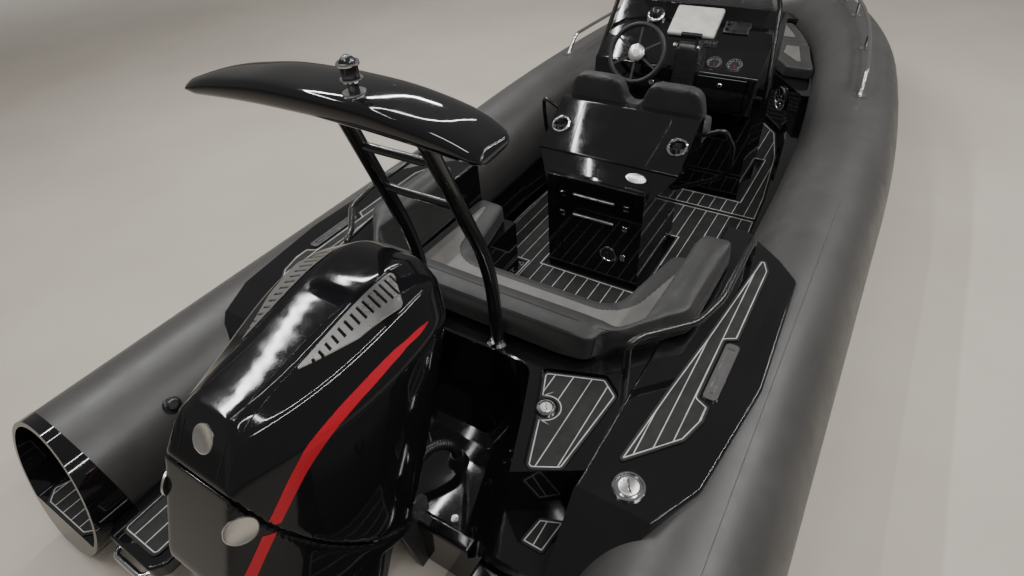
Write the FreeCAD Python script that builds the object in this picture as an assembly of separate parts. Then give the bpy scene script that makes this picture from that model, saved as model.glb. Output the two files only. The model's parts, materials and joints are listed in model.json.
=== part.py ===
import FreeCAD
import Part
import math
import os
from FreeCAD import Vector

# A rigid-hulled inflatable boat with an outboard engine, in millimetres.
# +X points to the bow, +Y to port and +Z up. The origin is on the centreline, at the aft face
# of the transom and at the waterline. Names that end in _X, _Y or _Z are places in that frame.

OUT = "parts"
GAP = 0.3
SLACK = 2.0
FAR = 1500.0

# Buoyancy tube
TUBE_R = 275.0
TUBE_Y = 1050.0
TUBE_Z = 330.0
TUBE_AFT = -480.0
TUBE_STRAIGHT_END = 2200.0
SHEER_BEND_R = 6000.0
SHEER_DEG = 2.0
BOW_ARC_1_R = 12000.0
BOW_ARC_1_DEG = 9.0
BOW_ARC_2_R = 3200.0
BOW_ARC_2_DEG = 32.0
STRAKE_W = 46.0
STRAKE_T = 16.0
STRAKE_LOW_DEG = -22.0
STRAKE_CREST = 0.6

# Tube ends, cut on a slant, with a step inside each
CAP_TOP_X = -520.0
CAP_LOW_X = -690.0
CAP_WALL = 16.0
CAP_LIP = 3.0
CAP_STEP_DROP = 150.0
CAP_STEP_FRONT = -500.0
CAP_PAD_AFT = -650.0
CAP_PAD_WIDE = -600.0
CAP_PAD_HALF = 130.0
CAP_PAD_MOST = 185.0
CAP_PAD_R = 20.0

# Hull
FLOOR_T = 22.0
TRANSOM_T = 60.0
TRANSOM_Z = 270.0
TRANSOM_HALF = 410.0
BILGE_Z = 60.0
STEM_BACK = 105.0
RAIL_W = 34.0
RAIL_SHARES = (0.40, 0.68)
CHINE_FLAT = 55.0
# share of the hull's length, keel z, chine z, top z, and how far the chine and the top lie inside
# the tube's centreline
HULL_SECTIONS = [
    (0.0, -365.0, -27.0, 175.0, 250.0, 200.0),
    (0.385, -365.0, -20.0, 175.0, 250.0, 200.0),
    (0.63, -360.0, 40.0, 215.0, 251.0, 181.0),
    (0.822, -285.0, 130.0, 270.0, 248.0, 168.0),
    (0.944, -75.0, 250.0, 330.0, 215.0, 145.0),
    (1.0, 195.0, 370.0, 400.0, 96.0, 86.0),
]
# share of the hull's length, and how far the cockpit's side lies inside the tube's centreline
COCKPIT = [(0.402, 320.0), (0.542, 340.0), (0.647, 360.0), (0.787, 440.0), (0.857, 500.0)]
COCKPIT_AFT_HALF = 730.0
BILGE_HALF = 780.0

# Aft deck
DECK_Z = 610.0
RECESS_Z = 594.0
RECESS_MARGIN = 8.0
LOW_STEP_Z = 380.0
WELL_FLOOR_Z = 150.0
WELL_FRONT_X = 575.0
WELL_AFT_X = -60.0
# z, front x, half width at the front, x and half width at the bend, half width at the transom
WELL_LEVELS = [
    (150.0, 75.0, 190.0, 210.0, 280.0, 360.0),
    (380.0, 15.0, 320.0, 330.0, 410.0, 545.0),
    (625.0, 0.0, 340.0, 360.0, 430.0, 590.0),
]
WELL_R = 70.0
PAD_T = 6.0
DECK_FRONT_X = 715.0
COAMING_Y = 700.0
RISER_X = 150.0
RISER_Y = 480.0
RISER_SLANT = 0.6
STEP_PAD = [(200.0, 535.0), (255.0, 638.0), (600.0, 668.0), (655.0, 600.0), (580.0, 388.0), (380.0, 472.0)]
STEP_PAD_R = 22.0
STEP_CAP_X = 440.0
STEP_CAP_Y = 476.0
STEP_CAP_R = 34.0
LOW_PAD = [(80.0, 575.0), (80.0, 660.0), (215.0, 675.0), (180.0, 590.0)]

# Side decks
SIDE_DECK_Z = 620.0
SIDE_DECK = [(0.0, 825.0), (180.0, 930.0), (385.0, 1030.0), (845.0, 1085.0), (1480.0, 1062.0),
             (1590.0, 970.0), (1740.0, 800.0)]
SIDE_DECK_R = [0, 40, 60, 80, 120, 60, 60, 40, 0]
SIDE_DECK_SLOPE_X = 220.0
SIDE_DECK_EDGE_R = 10.0
SIDE_PAD_R = 10.0
SIDE_PAD = [(340.0, 775.0), (520.0, 930.0), (620.0, 958.0), (685.0, 956.0), (708.0, 912.0), (1008.0, 910.0),
            (1032.0, 952.0), (1480.0, 950.0), (1545.0, 922.0), (1540.0, 898.0), (990.0, 845.0),
            (710.0, 812.0)]
CLEAT_X0 = 715.0
CLEAT_X1 = 1000.0
CLEAT_Y = 944.0
CLEAT_W = 48.0
CLEAT_T = 9.0
FUEL_CAP_X = 290.0
FUEL_CAP_Y = -842.0
FUEL_CAP_R = 50.0
CAP_T = 9.0
CAP_DISC_SHARE = 0.72
CAP_HOLLOW_SHARE = 0.55

# Swim platforms and ladder
PLATFORM_Z = 280.0
PLATFORM_T = 60.0
PLATFORM_L = 600.0
PLATFORM_IN_Y = 460.0
PLATFORM_OUT_Y = 800.0
PLATFORM_EDGE_R = 12.0
PLATFORM_PAD_MARGIN = 38.0
LADDER_R = 12.0
LADDER_Y0 = 540.0
LADDER_Y1 = 722.0
LADDER_AFT = 24.0
LADDER_FRONT_X = -100.0
LADDER_STEPS = (-170.0, -320.0, -470.0)

# Engine, given upright from the tilt tube's centre and then tilted
TILT_X = 0.0
TILT_Z = 330.0
TILT_DEG = 25.0
STEER_X = -85.0
STEER_LIMIT_DEG = 30.0
COWL_WALL = 12.0
COWL_BASE_Z = -60.0
SEAM_GAP = 0.6
SEAM_AFT_Z = 430.0
SEAM_CORNER_X = -660.0
SEAM_MID = (-440.0, 208.0)
SEAM_FRONT = (-160.0, 95.0)
SEAM_FALL = 10.0
PLATE_DROP = 695.0
PLATE_T = 10.0
PROP_AXIS_DROP = 900.0
PROP_R = 190.0
PROP_HUB_R = 55.0
PROP_X = -665.0
PROP_BLADES = 3
TORPEDO_AFT = -600.0
# radius, half chord and pitch angle of the blade's sections
BLADE_SECTIONS = [(45.0, 45.0, 62.0), (120.0, 78.0, 40.0), (PROP_R, 30.0, 28.0)]
PLATE_OUTLINE = [(-640.0, 120.0), (-260.0, 140.0), (-120.0, 30.0), (-120.0, -30.0), (-260.0, -140.0),
                 (-640.0, -120.0)]
PLATE_CORNERS = [50, 90, 25, 25, 90, 50]
# sections of the leg under the cowl and of the strut below its plate: aft x, front x, half width, z
LEG_SECTIONS = [(-480.0, -140.0, 130.0, COWL_BASE_Z - GAP), (-440.0, -150.0, 85.0, -360.0),
                (-470.0, -150.0, 60.0, -PLATE_DROP)]
STRUT_SECTIONS = [(-470.0, -150.0, 55.0, -PLATE_DROP - PLATE_T), (-500.0, -160.0, 40.0, -PROP_AXIS_DROP)]
# x of the skeg's corners, at the gearcase and at its foot
SKEG_TOP_X = (-180.0, -420.0)
SKEG_FOOT_X = (-480.0, -400.0)
# the swivel bracket's arms seen from the side, from the tilt tube's centre
ARM_SIDE = [(0, 34), (-75, 10), (-75, -320), (-50, -300), (-30, -60), (10, -22)]
# the clamp bracket's plates seen from the side, down to the transom's top
CLAMP_SIDE = [(70, 20), (20, 45), (-60, 30), (-70, -60), (-30, -380), (-GAP, -380)]
CLAMP_R = [10, 20, 25, 20, 10, 0, 0, 0]
# x and radius of the gearcase's body
TORPEDO = [(60.0, 0.0), (40.0, 30.0), (-60.0, 58.0), (-300.0, 66.0)]
BRACKET_Y = 175.0
BRACKET_T = 20.0
TILT_TUBE_R = 16.0
KINGPIN_R = 24.0
PIN_GAP = 0.1
SWIVEL_TOP = -30.0
SWIVEL_LOW = -332.0
YOKE_R = 45.0
VENT_T = 4.0
VENT = [(-470.0, 104.0), (-150.0, 112.0), (-205.0, 206.0), (-330.0, 176.0)]
COWL_CORNERS = [0, 60, 40, 8]
VENT_SLOTS = 14
VENT_SLOT_W = 7.0
VENT_SLOT_L = 52.0
VENT_BORDER = 14.0
PAN_FLOOR_Z = 40.0
POWERHEAD_HALF = 145.0
YOKE_T = 30.0
ARM_HALF = 150.0
SKEG_DROP = 230.0
SKEG_T = 16.0
BLADE_HALF_T = 3.0
BEVEL_DROP = 45.0
BEVEL_SHARE = 0.62
SHOULDER_DROP = 140.0
# x, half width, half width of the flat top and height of the cover's frames, from aft to the nose
COWL_FRAMES = [
    (-700.0, 108.0, 52.0, 545.0),
    (-560.0, 178.0, 86.0, 640.0),
    (-400.0, 243.0, 98.0, 747.0),
    (-200.0, 280.0, 104.0, 878.0),
    (-60.0, 250.0, 98.0, 916.0),
    (40.0, 130.0, 60.0, 872.0),
]
# the cover's outline seen from the side: x, z, corner radius
COWL_SIDE = [
    (-500.0, -60.0, 60.0),
    (-600.0, 20.0, 60.0),
    (-660.0, 110.0, 80.0),
    (-664.0, 430.0, 60.0),
    (-600.0, 720.0, 0.0),
    (-600.0, 1000.0, 0.0),
    (-40.0, 1000.0, 0.0),
    (22.0, 800.0, 90.0),
    (-20.0, 500.0, 200.0),
    (-107.0, 170.0, 120.0),
    (-135.0, -60.0, 0.0),
]

# Mast
LEG_R = 25.0
LEG_Y = 164.0
LEG_X = 622.0
LEG_BEND_Z = 970.0
LEG_BEND_R = 900.0
LEG_TOP = (372.0, 134.0, 1690.0)
RUNG_R = 14.0
RUNG_Z = (1266.0, 1438.0)
FLANGE_R = 42.0
FLANGE_T = 10.0
WING_AFT_X = 200.0
WING_HALF = 490.0
# y as a share of the wing's half width, front edge x, lower z, upper z
WING_SECTIONS = [(0.0, 405.0, 1652.0, 1726.0), (0.6, 392.0, 1642.0, 1708.0), (0.93, 352.0, 1630.0, 1678.0),
                 (1.0, 318.0, 1632.0, 1668.0)]
LIGHT_X = 245.0
LIGHT_Y = -130.0
LIGHT_R = 28.0
LIGHT_H = 80.0
LIGHT_FOOT = 10.0
WING_EDGE = 12.0

# Aft bench
BENCH_SEAT_Z = 430.0
BENCH_PAD_T = 100.0
BENCH_BACK_Z = 745.0
BENCH_BACK_T = 105.0
BENCH_FRONT_X = 1150.0
BENCH_END_X = 1700.0
BENCH_LEG_Y = 430.0
BENCH_EDGE_R = 18.0
BOLSTER_EDGE_R = 14.0
BENCH_PAD = [(1700.0, 680.0), (1690.0, 505.0), (1215.0, 395.0)]
# the upper, outer and inner edges of the bolster that leans over the decks, for the port half
BOLSTER_OUT = [(606.0, 0.0), (655.0, 530.0), (735.0, 552.0), (985.0, 788.0), (1490.0, 788.0)]
BENCH_CORNER = [(715.0, 536.0), (890.0, 700.0)]
BOLSTER_IN = [(1490.0, 648.0), (880.0, 648.0), (800.0, 570.0), (800.0, 0.0)]
RAIL_R = 14.0
RAIL_Z = 770.0
# x and y of the grab rail's corners
RAIL_PATH = [(692.0, 655.0), (760.0, 690.0), (905.0, 825.0), (1060.0, 862.0), (1500.0, 862.0)]

# Helm seat box
BOX_X0 = 1790.0
BOX_TOP_X0 = 1920.0
BOX_X1 = 2330.0
BOX_HALF = 277.0
BOX_TOP_HALF = 392.0
BOX_SHOULDER_Z = 630.0
BOX_SHOULDER_R = 60.0
BOX_TOP_Z = 695.0
HOOD_Z = 880.0
HOOD_X = 2190.0
HOOD_X1 = 2250.0
DOOR_HALF = 220.0
DOOR_Z0 = 60.0
DOOR_Z1 = 330.0
DOOR_T = 18.0
HINGE_R = 5.0
DRAWER_Z = (365.0, 470.0)
DRAWER_H = (80.0, 120.0)
DRAWER_HALF = 215.0
DRAWER_X0 = 1792.0
DRAWER_X1 = 2150.0
DRAWER_GAP = 4.0
CUP_X = 2050.0
CUP_SIDE = 62.0
CUP_R = 42.0
CUP_FLOOR_Z = 720.0
CUP_T = 4.0
CUP_H = 75.0
SEAT_PAD_T = 110.0
SEAT_PAD_R = 40.0
BACKREST_TAPER = 12.0
BACKREST_R = [20, 55, 55, 20]
HANDLE_BENDS = [35, 60, 120]
SEAT_PAD_END_X = 2470.0
BACKREST_T = 80.0
BACKREST_LOW_Z = 812.0
BACKREST_TOP_Z = 1010.0
BACKREST_GAP = 50.0
SEAT_PAD_X0 = 2265.0
HANDLE_R = 12.0
HANDLE_OUT = 165.0
HANDLE_LOW_Z = 430.0

# Console
CONSOLE_HALF = 500.0
CONSOLE_WALL = 40.0
CONSOLE_FOOT_X = 2960.0
CONSOLE_HOLLOW_Z = 560.0
CONSOLE_PLAN_R = [50, 160, 160, 50]
CONSOLE_PAD_MARGIN = 20.0
CONSOLE_PAD_FRONT = 8.0
CONSOLE_SEAT_R = 15.0
CONSOLE_PAD_T = 90.0
CONSOLE_SEAT_L = 290.0
CONSOLE_SEAT_HALF = 300.0
CONSOLE_SEAT_Z = 390.0
# the console's outline above its foot, seen from the side: x, z, corner radius
CONSOLE_SIDE = [
    (2905.0, 640.0, 30.0),
    (2790.0, 668.0, 20.0),
    (2835.0, 880.0, 30.0),
    (3010.0, 965.0, 40.0),
    (3270.0, 1125.0, 30.0),
    (3430.0, 1060.0, 40.0),
    (3520.0, 500.0, 120.0),
]
GLOVE_Y0 = -450.0
GLOVE_Y1 = -160.0
GLOVE_Z0 = 690.0
GLOVE_Z1 = 862.0
GLOVE_DEPTH = 110.0
LID_OUT = 12.0
LID_IN = 4.0
WHEEL_Y = 210.0
WHEEL_R = 165.0
WHEEL_X = 2790.0
WHEEL_Z = 950.0
WHEEL_LEAN_DEG = 30.0
WHEEL_RIM_R = 15.0
WHEEL_SPOKES = 6
HUB_BACK = 30.0
COLUMN_R = 28.0
COLUMN_L = 150.0
# the throttle binnacle seen from the side
THROTTLE_SIDE = [(2790.0, 775.0), (2830.0, 1000.0), (2900.0, 1015.0), (2990.0, 940.0), (2900.0, 800.0)]
THROTTLE_Y0 = -150.0
THROTTLE_Y1 = -15.0
PLOTTER_X = 3172.0
PLOTTER_Y = -5.0
PLOTTER_Z = 1062.0
PLOTTER_W = 310.0
PLOTTER_H = 240.0
PLOTTER_T = 70.0
PLOTTER_R = 22.0
PLOTTER_YAW_DEG = 20.0
PLOTTER_LEAN_DEG = 35.0
FRAME_R = 14.0
FRAME_BASE = (2965.0, 538.0, 715.0)
FRAME_TOP = (3200.0, 395.0, 1385.0)
FRAME_BENDS = [18, 60, 150, 70]
GLASS_T = 6.0
# x and half width of the screen's lower edge
GLASS_FOOT = [(3345.0, 440.0), (3425.0, 250.0)]
GLASS_FOOT_Z = 1050.0

# Bow, with places given as distances back from where the tubes' inner sides meet
BOW_BASE_BACK = 1560.0
BOW_BASE_Z = 400.0
BOW_LAP = 60.0
BOW_PAD_T = 95.0
BOW_PAD_BACK = 1290.0
BOW_SEAM_BACK = 760.0
BOW_DECK_BACK = 229.0
BOW_DECK_Z = 520.0
BOW_DECK_T = 140.0
# distance back and half width of the footwell's corners
FOOTWELL = [(1660.0, 705.0), (1069.0, 250.0), (819.0, 210.0)]
SPEAKER_BACK = 1358.0
SPEAKER_Z = 275.0
SPEAKER_R = 88.0
SPEAKER_T = 12.0
SPEAKER_SPOKES = 8
LOCKER_BACK = 179.0
LOCKER_L = 110.0
LOCKER_SIDE = 85.0
LOCKER_FLOOR_Z = 400.0
LID_T = 16.0
LID_CLEAR = 5.0
HANDRAIL_R = 12.0
HANDRAIL_H = 110.0
HANDRAIL_X = (3420.0, 3530.0, 3800.0, 4100.0, 4400.0, 4700.0, 4950.0, 5130.0, 5210.0)
STANCHION_X = (4190.0, 4860.0)
HANDRAIL_FOOT_R = 38.0
HANDRAIL_SUNK = 10.0
HANDRAIL_END_R = 90.0
HANDRAIL_BEND_R = 900.0
HANDRAIL_TIP_R = 60.0
HANDRAIL_FOOT_T = 6.0

# Floor pads
FLOOR_MARGIN = 25.0
FLOOR_JOINTS = (2745.0,)
FLOOR_JOINT_W = 8.0

# Rigging hose in the engine well: the points of its route
HOSE_R = 22.0
HOSE_ROUTE = [(330.0, -118.0, 205.3), (330.0, -118.0, 258.0), (290.0, -84.0, 305.0), (225.0, -52.0, 300.0),
              (160.0, -32.0, 262.0), (112.0, -26.0, 222.0), (60.3, -26.0, 222.0)]
HOSE_BEND_SHARE = 0.45
BOOT_R = 45.0
BOOT_H = 55.0

# Towing eyes
EYE_T = 12.0
EYE_R = 27.0
EYE_HOLE_R = 12.0
STERN_EYE_Y = 600.0
STERN_EYE_Z = 110.0
STERN_EYE_OUT = 32.0
BOW_EYE_BACK = 142.0
BOW_EYE_Z = 60.0

nodes = {}


def box(x0, x1, y0, y1, z0, z1):
    return Part.makeBox(x1 - x0, y1 - y0, z1 - z0, Vector(x0, y0, z0))


def mirrored(shape):
    return shape.mirror(Vector(0, 0, 0), Vector(0, 1, 0))


def both_sides(shape):
    return Part.makeCompound([shape, mirrored(shape)])


def rectangle(x0, x1, y0, y1):
    return [(x0, y0), (x1, y0), (x1, y1), (x0, y1)]


def across(points):
    """A port outline, closed by its mirror image across the centreline."""
    return list(points) + [(x, -y) for x, y in reversed(points)]


def rounded_wire(points, radii, place):
    """A closed outline with an arc at each corner; place turns a 2-D point into space."""
    count = len(points)
    starts = []
    middles = []
    ends = []
    for i, (point, radius) in enumerate(zip(points, radii)):
        corner = Vector(*point, 0)
        before = Vector(*points[i - 1], 0) - corner
        after = Vector(*points[(i + 1) % count], 0) - corner
        before.normalize()
        after.normalize()
        if radius <= 0:
            starts.append(corner)
            ends.append(corner)
            middles.append(None)
            continue
        half = before.getAngle(after) / 2
        reach = radius / math.tan(half)
        inward = before + after
        inward.normalize()
        starts.append(corner + before * reach)
        ends.append(corner + after * reach)
        middles.append(corner + inward * (radius / math.sin(half) - radius))
    edges = []
    for i in range(count):
        if middles[i] is not None:
            edges.append(Part.Arc(place(starts[i]), place(middles[i]), place(ends[i])).toShape())
        following = starts[(i + 1) % count]
        if (following - ends[i]).Length > 1e-6:
            edges.append(Part.LineSegment(place(ends[i]), place(following)).toShape())
    return Part.Wire(edges)


def spread(radii, points):
    return radii if isinstance(radii, (list, tuple)) else [radii] * len(points)


def plan_wire(points, z, radii=0):
    return rounded_wire(points, spread(radii, points), lambda p: Vector(p.x, p.y, z))


def plan_prism(points, z0, z1, radii=0):
    return Part.Face(plan_wire(points, z0, radii)).extrude(Vector(0, 0, z1 - z0))


def side_prism(points, y0, y1, radii=0):
    wire = rounded_wire(points, spread(radii, points), lambda p: Vector(p.x, y0, p.y))
    return Part.Face(wire).extrude(Vector(0, y1 - y0, 0))


def end_prism(points, x0, x1, radii=0):
    wire = rounded_wire(points, spread(radii, points), lambda p: Vector(x0, p.x, p.y))
    return Part.Face(wire).extrude(Vector(x1 - x0, 0, 0))


def soft_top(shape, radius):
    """Rounds all the edges of a prism's top face."""
    top = shape.BoundBox.ZMax
    edges = [e for e in shape.Edges if all(abs(v.Z - top) < 0.01 for v in e.Vertexes)]
    return shape.makeFillet(radius, edges)


def path_wire(points, radii):
    """Straight runs joined by tangent arcs."""
    edges = []
    last = Vector(*points[0])
    for i in range(1, len(points) - 1):
        corner = Vector(*points[i])
        before = Vector(*points[i - 1]) - corner
        after = Vector(*points[i + 1]) - corner
        before.normalize()
        after.normalize()
        half = before.getAngle(after) / 2
        radius = radii[i - 1]
        reach = radius / math.tan(half)
        inward = before + after
        inward.normalize()
        start = corner + before * reach
        end = corner + after * reach
        middle = corner + inward * (radius / math.sin(half) - radius)
        if (start - last).Length > 1e-6:
            edges.append(Part.LineSegment(last, start).toShape())
        edges.append(Part.Arc(start, middle, end).toShape())
        last = end
    edges.append(Part.LineSegment(last, Vector(*points[-1])).toShape())
    return Part.Wire(edges)


def round_bar(points, radius, bends):
    wire = path_wire(points, spread(bends, points[1:-1]))
    start = Vector(*points[0])
    ring = Part.Wire(Part.makeCircle(radius, start, Vector(*points[1]) - start))
    return wire.makePipeShell([ring], True, True)


def loft(wires, ruled=False):
    return Part.makeLoft(wires, True, ruled)


def polygon(points):
    return Part.makePolygon([Vector(*p) for p in points] + [Vector(*points[0])])


def cylinder(radius, length, base, axis):
    return Part.makeCylinder(radius, length, Vector(*base), Vector(*axis))


def fused(shapes):
    result = shapes[0]
    for shape in shapes[1:]:
        result = result.fuse(shape)
    return result.removeSplitter()


def largest(shape):
    return max(shape.Solids, key=lambda solid: solid.Volume)


SHEER = math.radians(SHEER_DEG)
SHEER_END_X = TUBE_STRAIGHT_END + SHEER_BEND_R * math.sin(SHEER)
SHEER_END_Z = TUBE_Z + SHEER_BEND_R * (1 - math.cos(SHEER))


def bow_arcs():
    """The tube's three arcs in plan: radius, first and last heading, and the centre's x and y."""
    first = math.radians(BOW_ARC_1_DEG)
    second = math.radians(BOW_ARC_2_DEG)
    drop = BOW_ARC_1_R * (1 - math.cos(first)) + BOW_ARC_2_R * (math.cos(first) - math.cos(second))
    last_r = (TUBE_Y - drop) / math.cos(second)
    arcs = []
    x = SHEER_END_X
    y = TUBE_Y
    heading = 0.0
    for radius, turned in ((BOW_ARC_1_R, first), (BOW_ARC_2_R, second), (last_r, math.pi / 2)):
        centre_x = x - radius * math.sin(heading)
        centre_y = y - radius * math.cos(heading)
        arcs.append((radius, heading, turned, centre_x, centre_y))
        x = centre_x + radius * math.sin(turned)
        y = centre_y + radius * math.cos(turned)
        heading = turned
    return arcs


ARCS = bow_arcs()
TIP_X = ARCS[-1][3] + ARCS[-1][0]
INNER_TIP_X = TIP_X - TUBE_R
HULL_L = TIP_X - STEM_BACK


def side_y(x, inset):
    """Y of the line that runs inside the tube's centreline by the inset, at the station x."""
    if x <= SHEER_END_X:
        return TUBE_Y - inset
    for radius, heading, turned, centre_x, centre_y in ARCS:
        inner = radius - inset
        if x <= centre_x + inner * math.sin(turned):
            return centre_y + math.sqrt(inner ** 2 - (x - centre_x) ** 2)
    return 0.0


def spine_z(x):
    if x <= TUBE_STRAIGHT_END:
        return TUBE_Z
    return SHEER_END_Z + (x - SHEER_END_X) * math.tan(SHEER)


def room(x, z, clear):
    """Half the width between the tubes at x and z, less a clearance."""
    chord = math.sqrt(max(TUBE_R ** 2 - (z - spine_z(x)) ** 2, 0.0))
    return side_y(x, chord) - clear


def raised(x, y):
    """A point of the bow's plan, set on the plane that the tubes rise in."""
    along = x - SHEER_END_X
    return Vector(SHEER_END_X + along * math.cos(SHEER), y, SHEER_END_Z + along * math.sin(SHEER))


def tube_spine():
    """The port tube's centreline: straight, a gentle rise, then three arcs to the bow."""
    half = SHEER / 2
    bend_start = Vector(TUBE_STRAIGHT_END, TUBE_Y, TUBE_Z)
    bend_middle = Vector(TUBE_STRAIGHT_END + SHEER_BEND_R * math.sin(half), TUBE_Y,
                         TUBE_Z + SHEER_BEND_R * (1 - math.cos(half)))
    bend_end = Vector(SHEER_END_X, TUBE_Y, SHEER_END_Z)
    edges = [Part.LineSegment(Vector(TUBE_AFT, TUBE_Y, TUBE_Z), bend_start).toShape(),
             Part.Arc(bend_start, bend_middle, bend_end).toShape()]
    for radius, heading, turned, centre_x, centre_y in ARCS:
        points = []
        for angle in (heading, (heading + turned) / 2, turned):
            points.append(raised(centre_x + radius * math.sin(angle), centre_y + radius * math.cos(angle)))
        edges.append(Part.Arc(*points).toShape())
    return Part.Wire(edges)


def tube_solid(radius):
    ring = Part.Wire(Part.makeCircle(radius, Vector(TUBE_AFT, TUBE_Y, TUBE_Z), Vector(1, 0, 0)))
    return tube_spine().makePipeShell([ring], True, False)


def clear_of_tubes(shape):
    """What is left of a shape between the tubes."""
    tube = tube_solid(TUBE_R + GAP)
    return shape.cut(tube).cut(mirrored(tube))


def strake_solid():
    """A tapered rubbing strake that follows the tube's outer side, a little below its middle."""
    low = math.radians(STRAKE_LOW_DEG)
    half = STRAKE_W / 2 / TUBE_R

    def around(radius, angle):
        return Vector(TUBE_AFT, TUBE_Y + radius * math.cos(angle), TUBE_Z + radius * math.sin(angle))

    foot = [around(TUBE_R + GAP, low + half * k) for k in (-1, 0, 1)]
    crest = [around(TUBE_R + STRAKE_T, low + half * k) for k in (STRAKE_CREST, -STRAKE_CREST)]
    edges = [Part.Arc(*foot).toShape(), Part.LineSegment(foot[2], crest[0]).toShape(),
             Part.LineSegment(crest[0], crest[1]).toShape(), Part.LineSegment(crest[1], foot[0]).toShape()]
    return tube_spine().makePipeShell([Part.Wire(edges)], True, False)


def make_tubes():
    port = tube_solid(TUBE_R)
    nodes["tube_port"] = port
    nodes["tube_starboard"] = mirrored(port)
    nodes["rub_strakes"] = both_sides(strake_solid())


def make_tube_ends():
    """Hollow moulded end caps, cut on a slant, each with a step inside."""
    length = TUBE_AFT - CAP_LOW_X
    top = TUBE_Z + TUBE_R
    low = TUBE_Z - TUBE_R
    y0 = TUBE_Y - 2 * TUBE_R
    y1 = TUBE_Y + 2 * TUBE_R
    outer = cylinder(TUBE_R + CAP_LIP, length, (TUBE_AFT, TUBE_Y, TUBE_Z), (-1, 0, 0))
    slope = side_prism([(CAP_TOP_X, top + CAP_WALL), (CAP_LOW_X, low), (CAP_LOW_X - length, low),
                        (CAP_LOW_X - length, top + CAP_WALL)], y0, y1)
    hollow = cylinder(TUBE_R - CAP_WALL, length, (TUBE_AFT - CAP_WALL, TUBE_Y, TUBE_Z), (-1, 0, 0))
    step_z = TUBE_Z - CAP_STEP_DROP
    step = outer.common(box(CAP_LOW_X, TUBE_AFT, y0, y1, low - CAP_WALL, step_z))
    nodes["tube_ends"] = both_sides(outer.cut(hollow).fuse(step).cut(slope).removeSplitter())
    front = CAP_STEP_FRONT - SLACK
    outline = [(CAP_PAD_AFT, CAP_PAD_HALF), (CAP_PAD_WIDE, CAP_PAD_MOST), (front - 20, CAP_PAD_HALF + 20),
               (front - 20, -CAP_PAD_HALF - 20), (CAP_PAD_WIDE, -CAP_PAD_MOST), (CAP_PAD_AFT, -CAP_PAD_HALF)]
    pad = plan_prism([(x, TUBE_Y + y) for x, y in outline], step_z, step_z + PAD_T, CAP_PAD_R)
    nodes["tube_end_pads"] = both_sides(pad)


def hull_frame(x, keel, chine_y, chine_z, top_y, top_z):
    """One frame of the hull: a V bottom with stepped spray rails, a chine flat and a flared side."""
    def bottom(y):
        return keel + (chine_z - keel) * y / chine_y

    scale = chine_y / side_y(0, HULL_SECTIONS[0][4])
    port = [(0.0, keel)]
    for share in RAIL_SHARES:
        y = share * chine_y
        rail_y = y + RAIL_W * scale
        port += [(y, bottom(y)), (rail_y, bottom(y)), (rail_y, bottom(rail_y))]
    flat_y = chine_y - CHINE_FLAT * scale
    port += [(flat_y, bottom(flat_y)), (chine_y, bottom(flat_y)), (top_y, top_z)]
    starboard = [(-y, z) for y, z in reversed(port[1:])]
    return polygon([(x, y, z) for y, z in port + starboard])


def cockpit_outline():
    aft = DECK_FRONT_X - SLACK
    port = [(aft, COCKPIT_AFT_HALF)]
    for share, inset in COCKPIT:
        port.append((share * HULL_L, side_y(share * HULL_L, inset)))
    return across(port)


def make_hull():
    frames = []
    for share, keel, chine_z, top_z, chine_in, top_in in HULL_SECTIONS:
        x = share * HULL_L
        frames.append(hull_frame(x, keel, side_y(x, chine_in), chine_z, side_y(x, top_in), top_z))
    hull = loft(frames, True)
    outline = cockpit_outline()
    hull = hull.cut(plan_prism(outline, 0, FAR))
    bilge = box(TRANSOM_T, DECK_FRONT_X - SLACK, -BILGE_HALF, BILGE_HALF, BILGE_Z, FAR)
    hull = clear_of_tubes(hull.cut(bilge))
    transom = soft_top(box(0, TRANSOM_T, -TRANSOM_HALF, TRANSOM_HALF, 0, TRANSOM_Z), TRANSOM_T / 4)
    nodes["hull_shell"] = hull.fuse(transom).removeSplitter()
    nodes["cockpit_floor"] = plan_prism(outline, 0, FLOOR_T)


def well_wire(level):
    z, front_back, front_half, bend_x, bend_half, aft_half = level
    outline = across([(WELL_AFT_X, aft_half), (bend_x, bend_half), (WELL_FRONT_X - front_back, front_half)])
    return plan_wire(outline, z, [0, WELL_R, WELL_R, WELL_R, WELL_R, 0])


def riser_x(y):
    return RISER_X + RISER_SLANT * (y - RISER_Y)


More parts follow.
